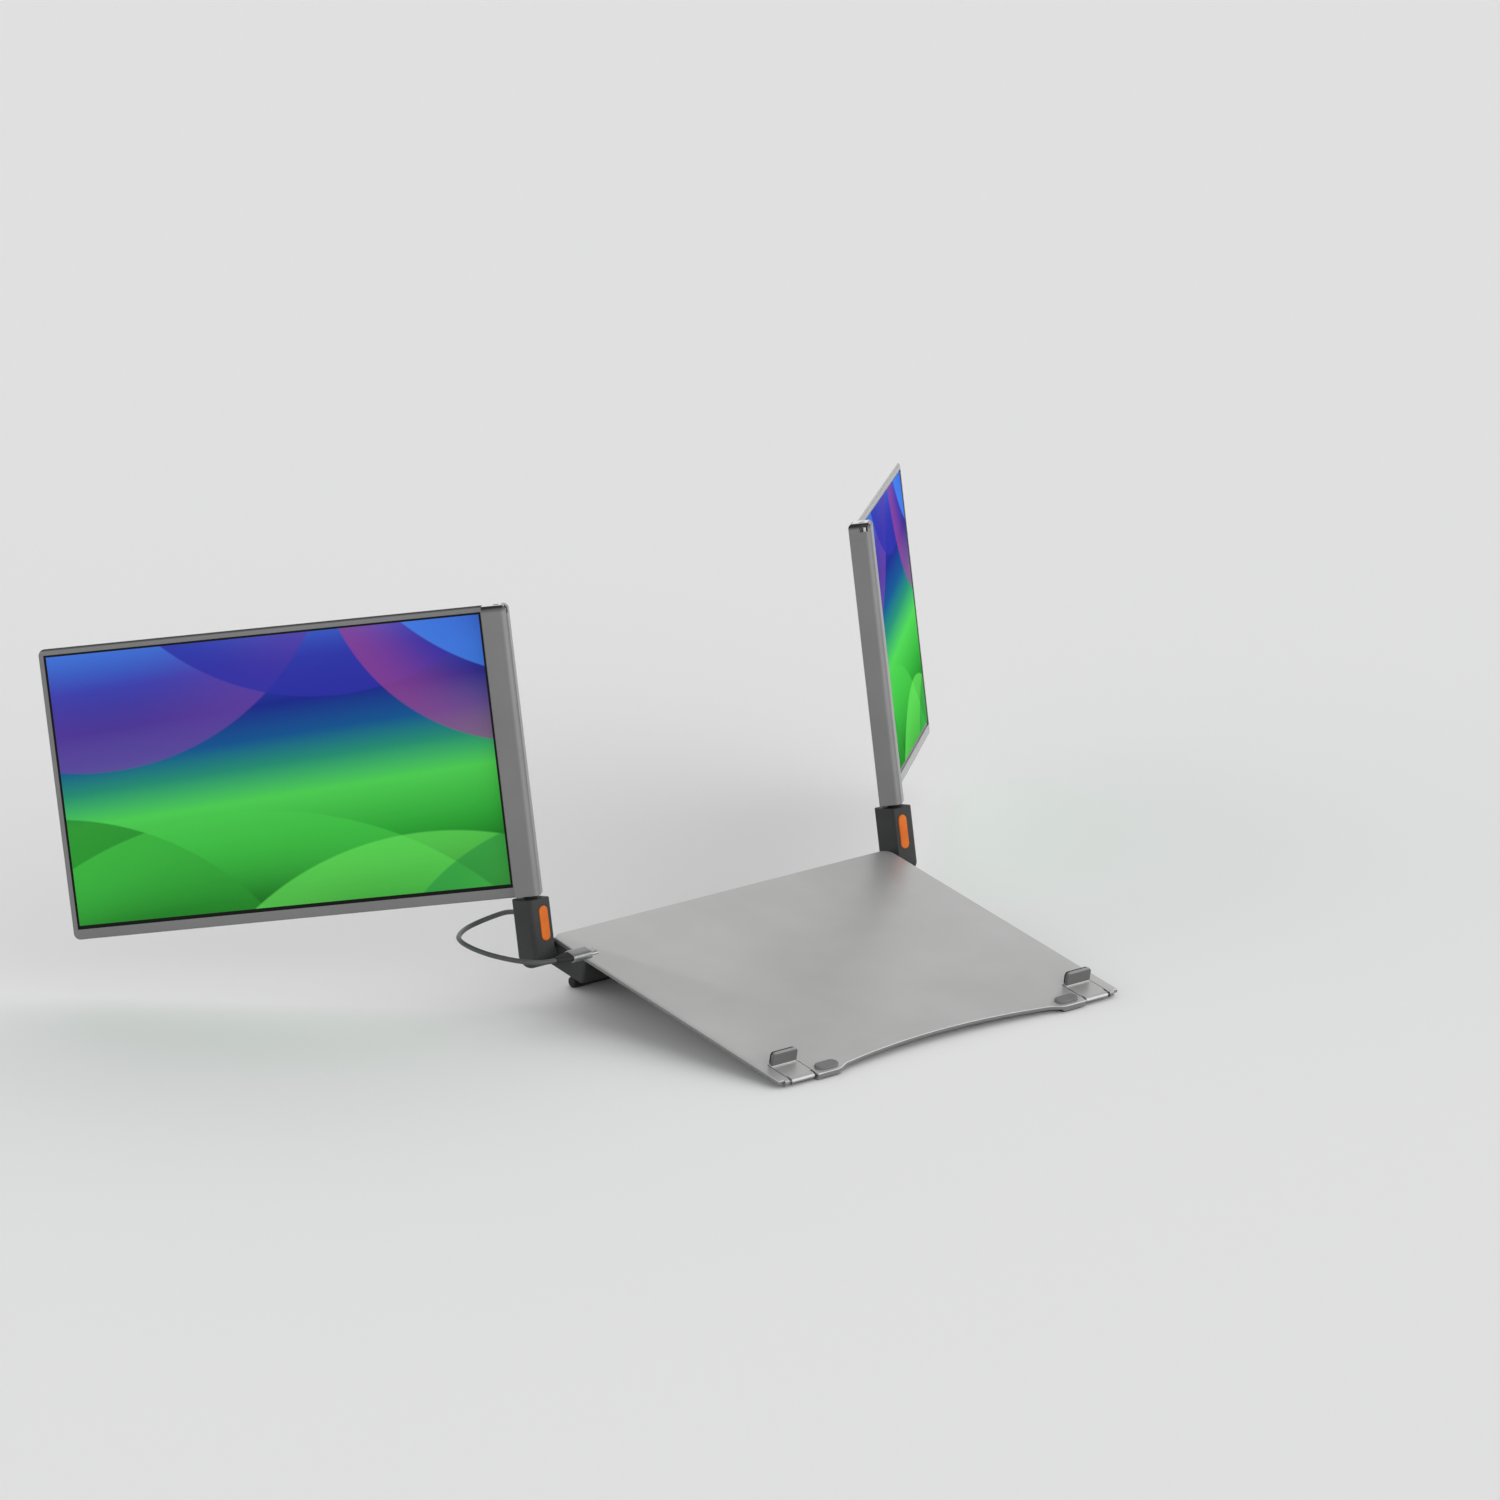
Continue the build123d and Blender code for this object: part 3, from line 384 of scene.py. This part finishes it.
def plug_shell():
    # turned and anodised plug sleeve
    return finish("anodised_aluminium_turned", ("#8A8B8B", "#969797"), (0.28, 0.4), 0.8, 6, 0.3, 0.004)


def turned_steel():
    # turned steel of pins and shafts: bright, with a fine grain
    return finish("stainless_steel_turned", ("#A9A8A5", "#B7B6B3"), (0.22, 0.34), 1.0, 5, 0.25, 0.004)


def bearing_bronze():
    # oil-soaked sintered bearing metal of the bushes, near black as painted shade for the dark gap round the
    # swivel
    return finish("sintered_bronze_shade_dark", ("#221F1B", "#2C2824"), (0.4, 0.52), 0.8, 3, 0.25, 0.006)


def circuit_board():
    # solder mask over glass fibre
    return finish("solder_mask_green", ("#0E3B22", "#14492B"), (0.25, 0.35), 0.0, 6, 0.6, 0.01)


def light_guide():
    # white acrylic light guide
    return finish("acrylic_white", ("#D9D9D6", "#E4E4E1"), (0.3, 0.4), 0.0, 30, 0.8, 0.004)


def panel_glass():
    # coated glass over the black border of the panel
    return finish(
        "coated_glass_black", ("#050506", "#080809"), (0.2, 0.26), 0.0, 90, 2.0, 0.0005,
        **{"Specular IOR Level": 0.15},
    )


FINISHES = {
    "base_tray": blasted_aluminium, "hook_flap": folded_aluminium, "hook_pad": black_rubber,
    "front_bumpers": grey_silicone, "front_feet": black_rubber, "flap_pins": turned_steel,
    "housing_screws": turned_steel, "tilt_housing": housing_abs, "housing_cover": housing_abs,
    "kickstand_leg": leg_plate, "kickstand_foot": black_rubber, "kickstand_brackets": leg_plate,
    "kickstand_pin": turned_steel, "column_body": column_abs, "column_cover": column_abs,
    "release_button": orange_button, "button_spring": turned_steel, "tilt_shaft": turned_steel,
    "friction_washers": turned_steel, "tilt_nut": turned_steel, "swivel_bush": bearing_bronze,
    "screen_frame": grey_shell, "back_cover": grey_shell, "lcd_panel": panel_glass,
    "backlight": light_guide, "driver_board": circuit_board, "spine": drawn_spine, "spine_cap": painted_cap,
    "hinge_stud": turned_steel, "swivel_rod": turned_steel, "cord_relief": black_rubber,
    "plug_boot": black_rubber, "plug_body": plug_shell, "plug_tip": turned_steel,
}
_made = {}


def material_of(maker):
    """Each finish is made once and shared."""
    if maker not in _made:
        _made[maker] = maker()
    return _made[maker]


def finish_pieces(kinds):
    """Gives the nodes of each kind, single or left and right, their finish."""
    for kind in kinds:
        for name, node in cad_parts.items():
            if name in (kind, f"{kind}_left", f"{kind}_right"):
                node.data.materials.clear()
                node.data.materials.append(material_of(FINISHES[kind]))


# ------------------------------------------------------------ pictures on the displays
# colours of the field from its foot to its top, and how much it falls along its width
FIELD = [
    (0.00, "#0C4410"), (0.18, "#2A8E30"), (0.36, "#44B248"), (0.48, "#237A62"),
    (0.58, "#164A7C"), (0.70, "#1B2778"), (0.85, "#2E3A98"), (1.00, "#3B66BC"),
]
FIELD_FALL = -0.06
# soft petals over that field: centre, radius, fade width, colour, strength; in picture heights
PETALS = [
    ((0.16, 1.52), 0.96, 0.42, "#5A3A8C", 0.7),
    ((1.04, 1.66), 0.90, 0.40, "#2A2C8E", 0.85),
    ((1.78, 1.26), 0.74, 0.30, "#7C3A7C", 0.7),
    ((1.96, 1.66), 0.92, 0.46, "#3B6FC8", 0.85),
    ((-0.12, -0.62), 1.02, 0.50, "#1C6A20", 0.7),
    ((0.62, -0.98), 1.34, 0.56, "#3FAE42", 0.55),
    ((1.32, -0.88), 1.10, 0.44, "#5CC652", 0.55),
    ((1.88, -0.62), 0.86, 0.36, "#1F7A38", 0.6),
]
PETAL_EDGE = 0.006           # width of a petal's outer edge


def picture_material():
    """A plain colour field with soft round petals: greens below, blues and violets above."""
    material, tree = new_material("display_picture")
    uv = add(tree, "ShaderNodeUVMap", uv_map="picture").outputs["UV"]
    split = add(tree, "ShaderNodeSeparateXYZ", links={"Vector": uv})
    lift = add(tree, "ShaderNodeMath", {1: FIELD_FALL}, {0: split.outputs["X"]}, operation="MULTIPLY")
    height = add(tree, "ShaderNodeMath", links={0: lift.outputs[0], 1: split.outputs["Y"]}, operation="ADD")
    field = ramp(tree, height.outputs[0], FIELD)
    for centre, radius, fade, colour, strength in PETALS:
        reach = add(
            tree, "ShaderNodeVectorMath", {1: (*centre, 0)}, {0: uv}, operation="DISTANCE"
        ).outputs["Value"]
        glow = band(tree, reach, radius - fade, radius, 0.0, strength, interpolation_type="SMOOTHSTEP")
        edge = band(tree, reach, radius, radius + PETAL_EDGE, 1.0, 0.0)
        cover = add(tree, "ShaderNodeMath", links={0: glow, 1: edge}, operation="MULTIPLY").outputs[0]
        field = mix(tree, cover, field, colour)
    shader = add(
        tree, "ShaderNodeBsdfPrincipled",
        {"Roughness": 0.3, "Metallic": 0.0, "Specular IOR Level": 0.0, "Emission Strength": 0.45},
        {"Base Color": field, "Emission Color": field},
    )
    add(tree, "ShaderNodeOutputMaterial", links={"Surface": shader.outputs["BSDF"]})
    return material


def make_piece(name, build, material):
    """A mesh object from a function that fills a bmesh."""
    mesh = bpy.data.meshes.new(name)
    shape = bmesh.new()
    build(shape)
    shape.to_mesh(mesh)
    shape.free()
    mesh.materials.append(material)
    piece = bpy.data.objects.new(name, mesh)
    bpy.context.scene.collection.objects.link(piece)
    return piece


def make_picture(side, name):
    """The lit area of one display, a thin slab on the glass; its texture runs as the user sees it."""
    left, right = sorted(side * x for x in PICTURE_X)
    low, high = PICTURE_Z
    width, height = right - left, high - low
    back = GLASS_Y - PICTURE_GAP

    def build(shape):
        uv = shape.loops.layers.uv.new("picture")
        bmesh.ops.create_cube(shape, size=1.0)
        for vertex in shape.verts:
            x, y, z = (part + 0.5 for part in vertex.co)
            vertex.co = (left + x * width, back - (1 - y) * PICTURE_THICKNESS, low + z * height)
        for face in shape.faces:
            for loop in face.loops:
                x, _, z = loop.vert.co
                loop[uv].uv = ((x - left) / height, (z - low) / height)
        placed = display_frame(side) @ Matrix.Diagonal((MM, MM, MM, 1))
        bmesh.ops.transform(shape, matrix=placed, verts=shape.verts)

    return make_piece(name, build, material_of(picture_material))


# ------------------------------------------------------------ lead
def make_lead(diameter):
    """The lead's jacket: one smooth open spline along the route's control points."""
    curve = bpy.data.curves.new("lead_jacket", "CURVE")
    curve.dimensions = "3D"
    curve.resolution_u = 24
    curve.bevel_depth = diameter / 2
    curve.bevel_resolution = 6
    curve.use_fill_caps = True
    spline = curve.splines.new("NURBS")
    points = [mm(x - WIDTH_MIDDLE, y - DEPTH_MIDDLE, z + LAPTOP_EDGE_Z) for x, y, z in LEAD_ROUTE]
    spline.points.add(len(points) - 1)
    for control, point in zip(spline.points, points):
        control.co = (*point, 1.0)
    spline.order_u = 3
    spline.use_endpoint_u = True
    curve.materials.append(material_of(cord_jacket))
    lead = bpy.data.objects.new("lead_jacket", curve)
    bpy.context.scene.collection.objects.link(lead)
    return lead, points


# ------------------------------------------------------------ geometry node trees
def tree_with_inputs(name, inputs):
    """A geometry node tree with named inputs from (name, socket kind, default)."""
    tree = bpy.data.node_groups.new(name, "GeometryNodeTree")
    tree.is_modifier = True
    tree.interface.new_socket("Geometry", in_out="INPUT", socket_type="NodeSocketGeometry")
    for label, kind, default in inputs:
        socket = tree.interface.new_socket(label, in_out="INPUT", socket_type=kind)
        if default is not None:
            socket.default_value = default
    tree.interface.new_socket("Geometry", in_out="OUTPUT", socket_type="NodeSocketGeometry")
    return tree, add(tree, "NodeGroupInput").outputs


def close_tree(tree, geometry, material):
    """A tree that grows a piece ends by realising its instances and giving them their material."""
    real = add(tree, "GeometryNodeRealizeInstances", links={"Geometry": geometry})
    dressed = add(tree, "GeometryNodeSetMaterial", links={"Geometry": real.outputs[0], "Material": material})
    add(tree, "NodeGroupOutput", links={"Geometry": dressed.outputs[0]})


def rib_row_tree():
    """A row of round ribs: each is a rod between two ends, repeated by a step."""
    tree, given = tree_with_inputs("rib_row", [
        ("Count", "NodeSocketInt", 8), ("First End", "NodeSocketVector", None),
        ("Second End", "NodeSocketVector", None), ("Step", "NodeSocketVector", None),
        ("Rib Radius", "NodeSocketFloat", 0.0003), ("Material", "NodeSocketMaterial", None),
    ])
    line = add(
        tree, "GeometryNodeCurvePrimitiveLine", links={"Start": given["First End"], "End": given["Second End"]}
    )
    profile = add(tree, "GeometryNodeCurvePrimitiveCircle", {"Resolution": 10}, {"Radius": given["Rib Radius"]})
    rod = add(
        tree, "GeometryNodeCurveToMesh", {"Fill Caps": True},
        {"Curve": line.outputs[0], "Profile Curve": profile.outputs[0]},
    )
    spots = add(
        tree, "GeometryNodeMeshLine", links={"Count": given["Count"], "Offset": given["Step"]}, mode="OFFSET"
    )
    row = add(
        tree, "GeometryNodeInstanceOnPoints", links={"Points": spots.outputs[0], "Instance": rod.outputs[0]}
    )
    smooth = add(tree, "GeometryNodeSetShadeSmooth", links={"Geometry": row.outputs[0]})
    close_tree(tree, smooth.outputs[0], given["Material"])
    return tree


def ring_row_tree():
    """Rings along an axis whose radius tapers from the first to the last, as on a strain relief."""
    tree, given = tree_with_inputs("ring_row", [
        ("Count", "NodeSocketInt", 4), ("Start", "NodeSocketVector", None), ("End", "NodeSocketVector", None),
        ("First Radius", "NodeSocketFloat", 0.003), ("Last Radius", "NodeSocketFloat", 0.002),
        ("Ring Thickness", "NodeSocketFloat", 0.0004), ("Material", "NodeSocketMaterial", None),
    ])
    spots = add(
        tree, "GeometryNodeMeshLine", links={
            "Count": given["Count"], "Start Location": given["Start"], "Offset": given["End"],
        }, mode="END_POINTS",
    )
    index = add(tree, "GeometryNodeInputIndex")
    last = add(tree, "ShaderNodeMath", {1: 1.0}, {0: given["Count"]}, operation="SUBTRACT")
    radius = add(tree, "ShaderNodeMapRange", links={
        "Value": index.outputs[0], "From Max": last.outputs[0],
        "To Min": given["First Radius"], "To Max": given["Last Radius"],
    })
    axis = add(tree, "ShaderNodeVectorMath", links={0: given["End"], 1: given["Start"]}, operation="SUBTRACT")
    turn = add(tree, "FunctionNodeAlignRotationToVector", links={"Vector": axis.outputs[0]}, axis="Z")
    circle = add(tree, "GeometryNodeCurvePrimitiveCircle", {"Resolution": 40, "Radius": 1.0})
    rings = add(tree, "GeometryNodeInstanceOnPoints", links={
        "Points": spots.outputs[0], "Instance": circle.outputs[0], "Rotation": turn.outputs[0],
        "Scale": radius.outputs[0],
    })
    real = add(tree, "GeometryNodeRealizeInstances", links={"Geometry": rings.outputs[0]})
    profile = add(
        tree, "GeometryNodeCurvePrimitiveCircle", {"Resolution": 8}, {"Radius": given["Ring Thickness"]}
    )
    solid = add(
        tree, "GeometryNodeCurveToMesh", links={"Curve": real.outputs[0], "Profile Curve": profile.outputs[0]}
    )
    smooth = add(tree, "GeometryNodeSetShadeSmooth", links={"Geometry": solid.outputs[0]})
    close_tree(tree, smooth.outputs[0], given["Material"])
    return tree


def soft_edge_tree():
    """Joins a node's loose triangles and shades them smooth up to a given edge angle."""
    tree, given = tree_with_inputs("soft_edges", [("Edge Angle", "NodeSocketFloat", radians(30))])
    merged = add(
        tree, "GeometryNodeMergeByDistance", {"Distance": WELD_DISTANCE}, {"Geometry": given["Geometry"]}
    )
    smooth = add(tree, "GeometryNodeSetShadeSmooth", links={"Geometry": merged.outputs[0]}, domain="FACE")
    angle = add(tree, "GeometryNodeInputMeshEdgeAngle")
    sharp = add(
        tree, "FunctionNodeCompare", links={0: angle.outputs["Unsigned Angle"], 1: given["Edge Angle"]},
        operation="GREATER_THAN",
    )
    creased = add(
        tree, "GeometryNodeSetShadeSmooth", {"Shade Smooth": False},
        {"Geometry": smooth.outputs[0], "Selection": sharp.outputs[0]}, domain="EDGE",
    )
    add(tree, "NodeGroupOutput", links={"Geometry": creased.outputs[0]})
    return tree


def set_input(modifier, label, value):
    """Sets a modifier's input by the identifier of its socket."""
    for item in modifier.node_group.interface.items_tree:
        if item.in_out == "INPUT" and item.name == label:
            modifier[item.identifier] = value
            return
    raise ValueError(f"{modifier.node_group.name} has no input named {label}")


def grow(name, tree, body, slot, **values):
    """Runs a tree on an empty mesh, keeps the result as a plain mesh and lets it ride on a body."""
    seed = bpy.data.objects.new(name + "_seed", bpy.data.meshes.new(name + "_seed"))
    bpy.context.scene.collection.objects.link(seed)
    modifier = seed.modifiers.new("grow", "NODES")
    modifier.node_group = tree
    for label, value in values.items():
        set_input(modifier, label.replace("_", " "), value)
    evaluated = seed.evaluated_get(bpy.context.evaluated_depsgraph_get())
    mesh = bpy.data.meshes.new_from_object(evaluated)
    mesh.name = name
    seed.modifiers.remove(modifier)
    bpy.data.objects.remove(seed)
    if not mesh.polygons:
        raise RuntimeError(f"{name} came out empty")
    piece = bpy.data.objects.new(name, mesh)
    bpy.context.scene.collection.objects.link(piece)
    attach(piece, body)
    return piece


# ------------------------------------------------------------ what a user may change
class ExtenderSizes(bpy.types.PropertyGroup):
    lead_diameter: bpy.props.FloatProperty(
        name="Lead Diameter", description="Outer diameter of the lead's jacket", default=3.4 * MM,
        unit="LENGTH",
    )
    edge_angle: bpy.props.FloatProperty(
        name="Edge Angle", description="Edges sharper than this stay crisp", default=radians(30),
        subtype="ANGLE",
    )
    pad_ribs: bpy.props.IntProperty(
        name="Pad Ribs", description="Grip ribs on each hook pad", default=6, min=2
    )
    relief_rings: bpy.props.IntProperty(
        name="Relief Rings", description="Rings moulded on the lead's strain relief", default=4, min=2
    )


class ExtenderStudio(bpy.types.PropertyGroup):
    floor_colour: bpy.props.FloatVectorProperty(
        name="Floor", description="Colour of the floor", subtype="COLOR", size=4, default=linear("#EFEFEF")
    )
    room_strength: bpy.props.FloatProperty(
        name="Room Light", description="Strength of the light from the room's walls", default=1.165
    )
    side_light: bpy.props.FloatProperty(
        name="Side Light", description="How much brighter the wall in front and to the right is", default=1.8
    )
    key_strength: bpy.props.FloatProperty(
        name="Key Light", description="Strength of the large soft key", default=0.74
    )
    lens: bpy.props.FloatProperty(
        name="Lens", description="Camera focal length in millimetres", default=215.24
    )


# ------------------------------------------------------------ operators
class EXTENDER_OT_camera(bpy.types.Operator):
    """Places the camera in front of and left of the object, looking a little down"""
    bl_idname = "extender.camera"
    bl_label = "Camera"

    def execute(self, context):
        data = bpy.data.cameras.new("camera")
        data.sensor_fit = "HORIZONTAL"
        data.sensor_width = 36.0
        data.lens = context.scene.extender_studio.lens
        data.clip_end = 100.0
        camera = bpy.data.objects.new("camera", data)
        camera.location = CAMERA_PLACE
        camera.rotation_euler = CAMERA_AIM.to_track_quat("-Z", "Y").to_euler()
        context.scene.collection.objects.link(camera)
        context.scene.camera = camera
        return {"FINISHED"}


class EXTENDER_OT_studio(bpy.types.Operator):
    """Adds the pale floor and the soft studio light"""
    bl_idname = "extender.studio"
    bl_label = "Studio"

    def execute(self, context):
        studio = context.scene.extender_studio
        material, tree = new_material("studio_floor_paint")
        shader = add(
            tree, "ShaderNodeBsdfPrincipled",
            {"Base Color": studio.floor_colour, "Roughness": 0.9, "Specular IOR Level": 0.1},
        )
        add(tree, "ShaderNodeOutputMaterial", links={"Surface": shader.outputs["BSDF"]})

        def build(shape):
            bmesh.ops.create_grid(shape, x_segments=1, y_segments=1, size=FLOOR_REACH)

        floor = make_piece("studio_floor", build, material)

        world = bpy.data.worlds.new("studio_room")
        world.use_nodes = True
        # bright walls, the brightest in front and to the right, under a dimmer ceiling
        tree = world.node_tree
        direction = add(tree, "ShaderNodeTexCoord").outputs["Generated"]
        upward = add(tree, "ShaderNodeSeparateXYZ", links={"Vector": direction}).outputs["Z"]
        facing = add(
            tree, "ShaderNodeVectorMath", {1: BRIGHT_WALL}, {0: direction}, operation="DOT_PRODUCT"
        ).outputs["Value"]
        side_light = band(
            tree, facing, *BRIGHT_WALL_FADE, 1.0, studio.side_light, interpolation_type="SMOOTHSTEP"
        )
        room = add(
            tree, "ShaderNodeVectorMath", links={0: ramp(tree, upward, ROOM_TONES), "Scale": side_light},
            operation="SCALE",
        ).outputs["Vector"]
        background = tree.nodes["Background"]
        tree.links.new(room, background.inputs["Color"])
        background.inputs["Strength"].default_value = studio.room_strength
        context.scene.world = world

        # a wide soft key from the right and behind, as a big ceiling box gives
        sun = bpy.data.lights.new("key", "SUN")
        sun.energy = studio.key_strength
        sun.angle = KEY_ANGLE
        key = bpy.data.objects.new("key", sun)
        key.rotation_euler = KEY_AIM.to_track_quat("-Z", "Y").to_euler()
        key.visible_glossy = False      # the box that gives it is too large and dim to glint
        context.scene.collection.objects.link(key)
        context.scene.view_settings.view_transform = "Standard"
        return {"FINISHED"}


class EXTENDER_OT_stand(bpy.types.Operator):
    """Finishes the tray, its hooks, feet and bumpers, the tilt housings and the kickstand"""
    bl_idname = "extender.stand"
    bl_label = "Stand Finishes"

    def execute(self, context):
        finish_pieces([
            "base_tray", "hook_flap", "hook_pad", "front_bumpers", "front_feet", "flap_pins", "housing_screws",
            "tilt_housing", "housing_cover", "kickstand_leg", "kickstand_foot", "kickstand_brackets",
            "kickstand_pin",
        ])
        return {"FINISHED"}


class EXTENDER_OT_columns(bpy.types.Operator):
    """Finishes the columns, their buttons, shafts and bushes"""
    bl_idname = "extender.columns"
    bl_label = "Column Finishes"

    def execute(self, context):
        finish_pieces([
            "column_body", "column_cover", "release_button", "button_spring", "tilt_shaft",
            "friction_washers", "tilt_nut", "swivel_bush",
        ])
        return {"FINISHED"}


class EXTENDER_OT_displays(bpy.types.Operator):
    """Finishes the displays' shells, glass and hinge edges"""
    bl_idname = "extender.displays"
    bl_label = "Display Finishes"

    def execute(self, context):
        finish_pieces([
            "screen_frame", "back_cover", "lcd_panel", "backlight", "driver_board", "spine", "spine_cap",
            "hinge_stud", "swivel_rod",
        ])
        return {"FINISHED"}


class EXTENDER_OT_pictures(bpy.types.Operator):
    """Adds the lit picture of each display"""
    bl_idname = "extender.pictures"
    bl_label = "Pictures"

    def execute(self, context):
        for name, side in SIDES.items():
            piece = make_picture(side, f"picture_{name}")
            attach(piece, f"{name}_display")
        return {"FINISHED"}


class EXTENDER_OT_lead(bpy.types.Operator):
    """Lays the lead from the left column to its plug"""
    bl_idname = "extender.lead"
    bl_label = "Lead"

    def execute(self, context):
        sizes = context.scene.extender_sizes
        lead, points = make_lead(sizes.lead_diameter)
        finish_pieces(["cord_relief", "plug_boot", "plug_body", "plug_tip"])
        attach(lead, "left_column")
        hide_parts("cord")
        return {"FINISHED"}


class EXTENDER_OT_grips(bpy.types.Operator):
    """Adds grip ribs to the hook pads, and rings to the strain relief"""
    bl_idname = "extender.grips"
    bl_label = "Grips"

    def execute(self, context):
        sizes = context.scene.extender_sizes
        ribs = rib_row_tree()
        rings = ring_row_tree()
        rubber = material_of(black_rubber)
        tray = tray_frame()
        low, high = PAD_RIB_Z
        for name, side in SIDES.items():
            near, far = sorted(side * x for x in PAD_RIB_X)
            grow(
                f"pad_ribs_{name}", ribs, f"{name}_hook", "rubber_black", Count=sizes.pad_ribs,
                First_End=tray @ mm(near, PAD_RIB_Y, low), Second_End=tray @ mm(far, PAD_RIB_Y, low),
                Step=tray.to_3x3() @ mm(0, 0, (high - low) / (sizes.pad_ribs - 1)),
                Rib_Radius=PAD_RIB_R * MM, Material=rubber,
            )
        column = column_frame(SIDES["left"])
        start, end = (column @ mm(0, y, RELIEF_RING_Z) for y in RELIEF_RING_Y)
        first, last = RELIEF_RING_RADII
        grow(
            "relief_rings", rings, "left_column", "rubber_black", Count=sizes.relief_rings,
            Start=start, End=end, First_Radius=first * MM, Last_Radius=last * MM,
            Ring_Thickness=RELIEF_RING_R * MM, Material=rubber,
        )
        return {"FINISHED"}


class EXTENDER_OT_edges(bpy.types.Operator):
    """Joins the solids' triangles and shades them smooth up to their sharp edges"""
    bl_idname = "extender.edges"
    bl_label = "Soft Edges"

    def execute(self, context):
        sizes = context.scene.extender_sizes
        tree = soft_edge_tree()
        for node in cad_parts.values():
            if node.hide_render:
                continue
            modifier = node.modifiers.new("soft_edges", "NODES")
            modifier.node_group = tree
            set_input(modifier, "Edge Angle", sizes.edge_angle)
        return {"FINISHED"}


class EXTENDER_PT_panel(bpy.types.Panel):
    """Lists the extender's steps as buttons"""
    bl_idname = "EXTENDER_PT_panel"
    bl_label = "Screen Extender"
    bl_space_type = "VIEW_3D"
    bl_region_type = "UI"
    bl_category = "Extender"

    def draw(self, context):
        for step in STEPS:
            self.layout.operator(step.bl_idname)


STEPS = [
    EXTENDER_OT_camera, EXTENDER_OT_lead, EXTENDER_OT_stand, EXTENDER_OT_columns, EXTENDER_OT_displays,
    EXTENDER_OT_pictures, EXTENDER_OT_grips, EXTENDER_OT_edges, EXTENDER_OT_studio,
]
CLASSES = [ExtenderSizes, ExtenderStudio, *STEPS, EXTENDER_PT_panel]


def register():
    for kind in CLASSES:
        bpy.utils.register_class(kind)
    bpy.types.Scene.extender_sizes = bpy.props.PointerProperty(type=ExtenderSizes)
    bpy.types.Scene.extender_studio = bpy.props.PointerProperty(type=ExtenderStudio)


def unregister():
    del bpy.types.Scene.extender_studio
    del bpy.types.Scene.extender_sizes
    for kind in reversed(CLASSES):
        bpy.utils.unregister_class(kind)


def main():
    register()
    for step in STEPS:
        family, name = step.bl_idname.split(".")
        getattr(getattr(bpy.ops, family), name)()


if __name__ == "__main__":
    main()
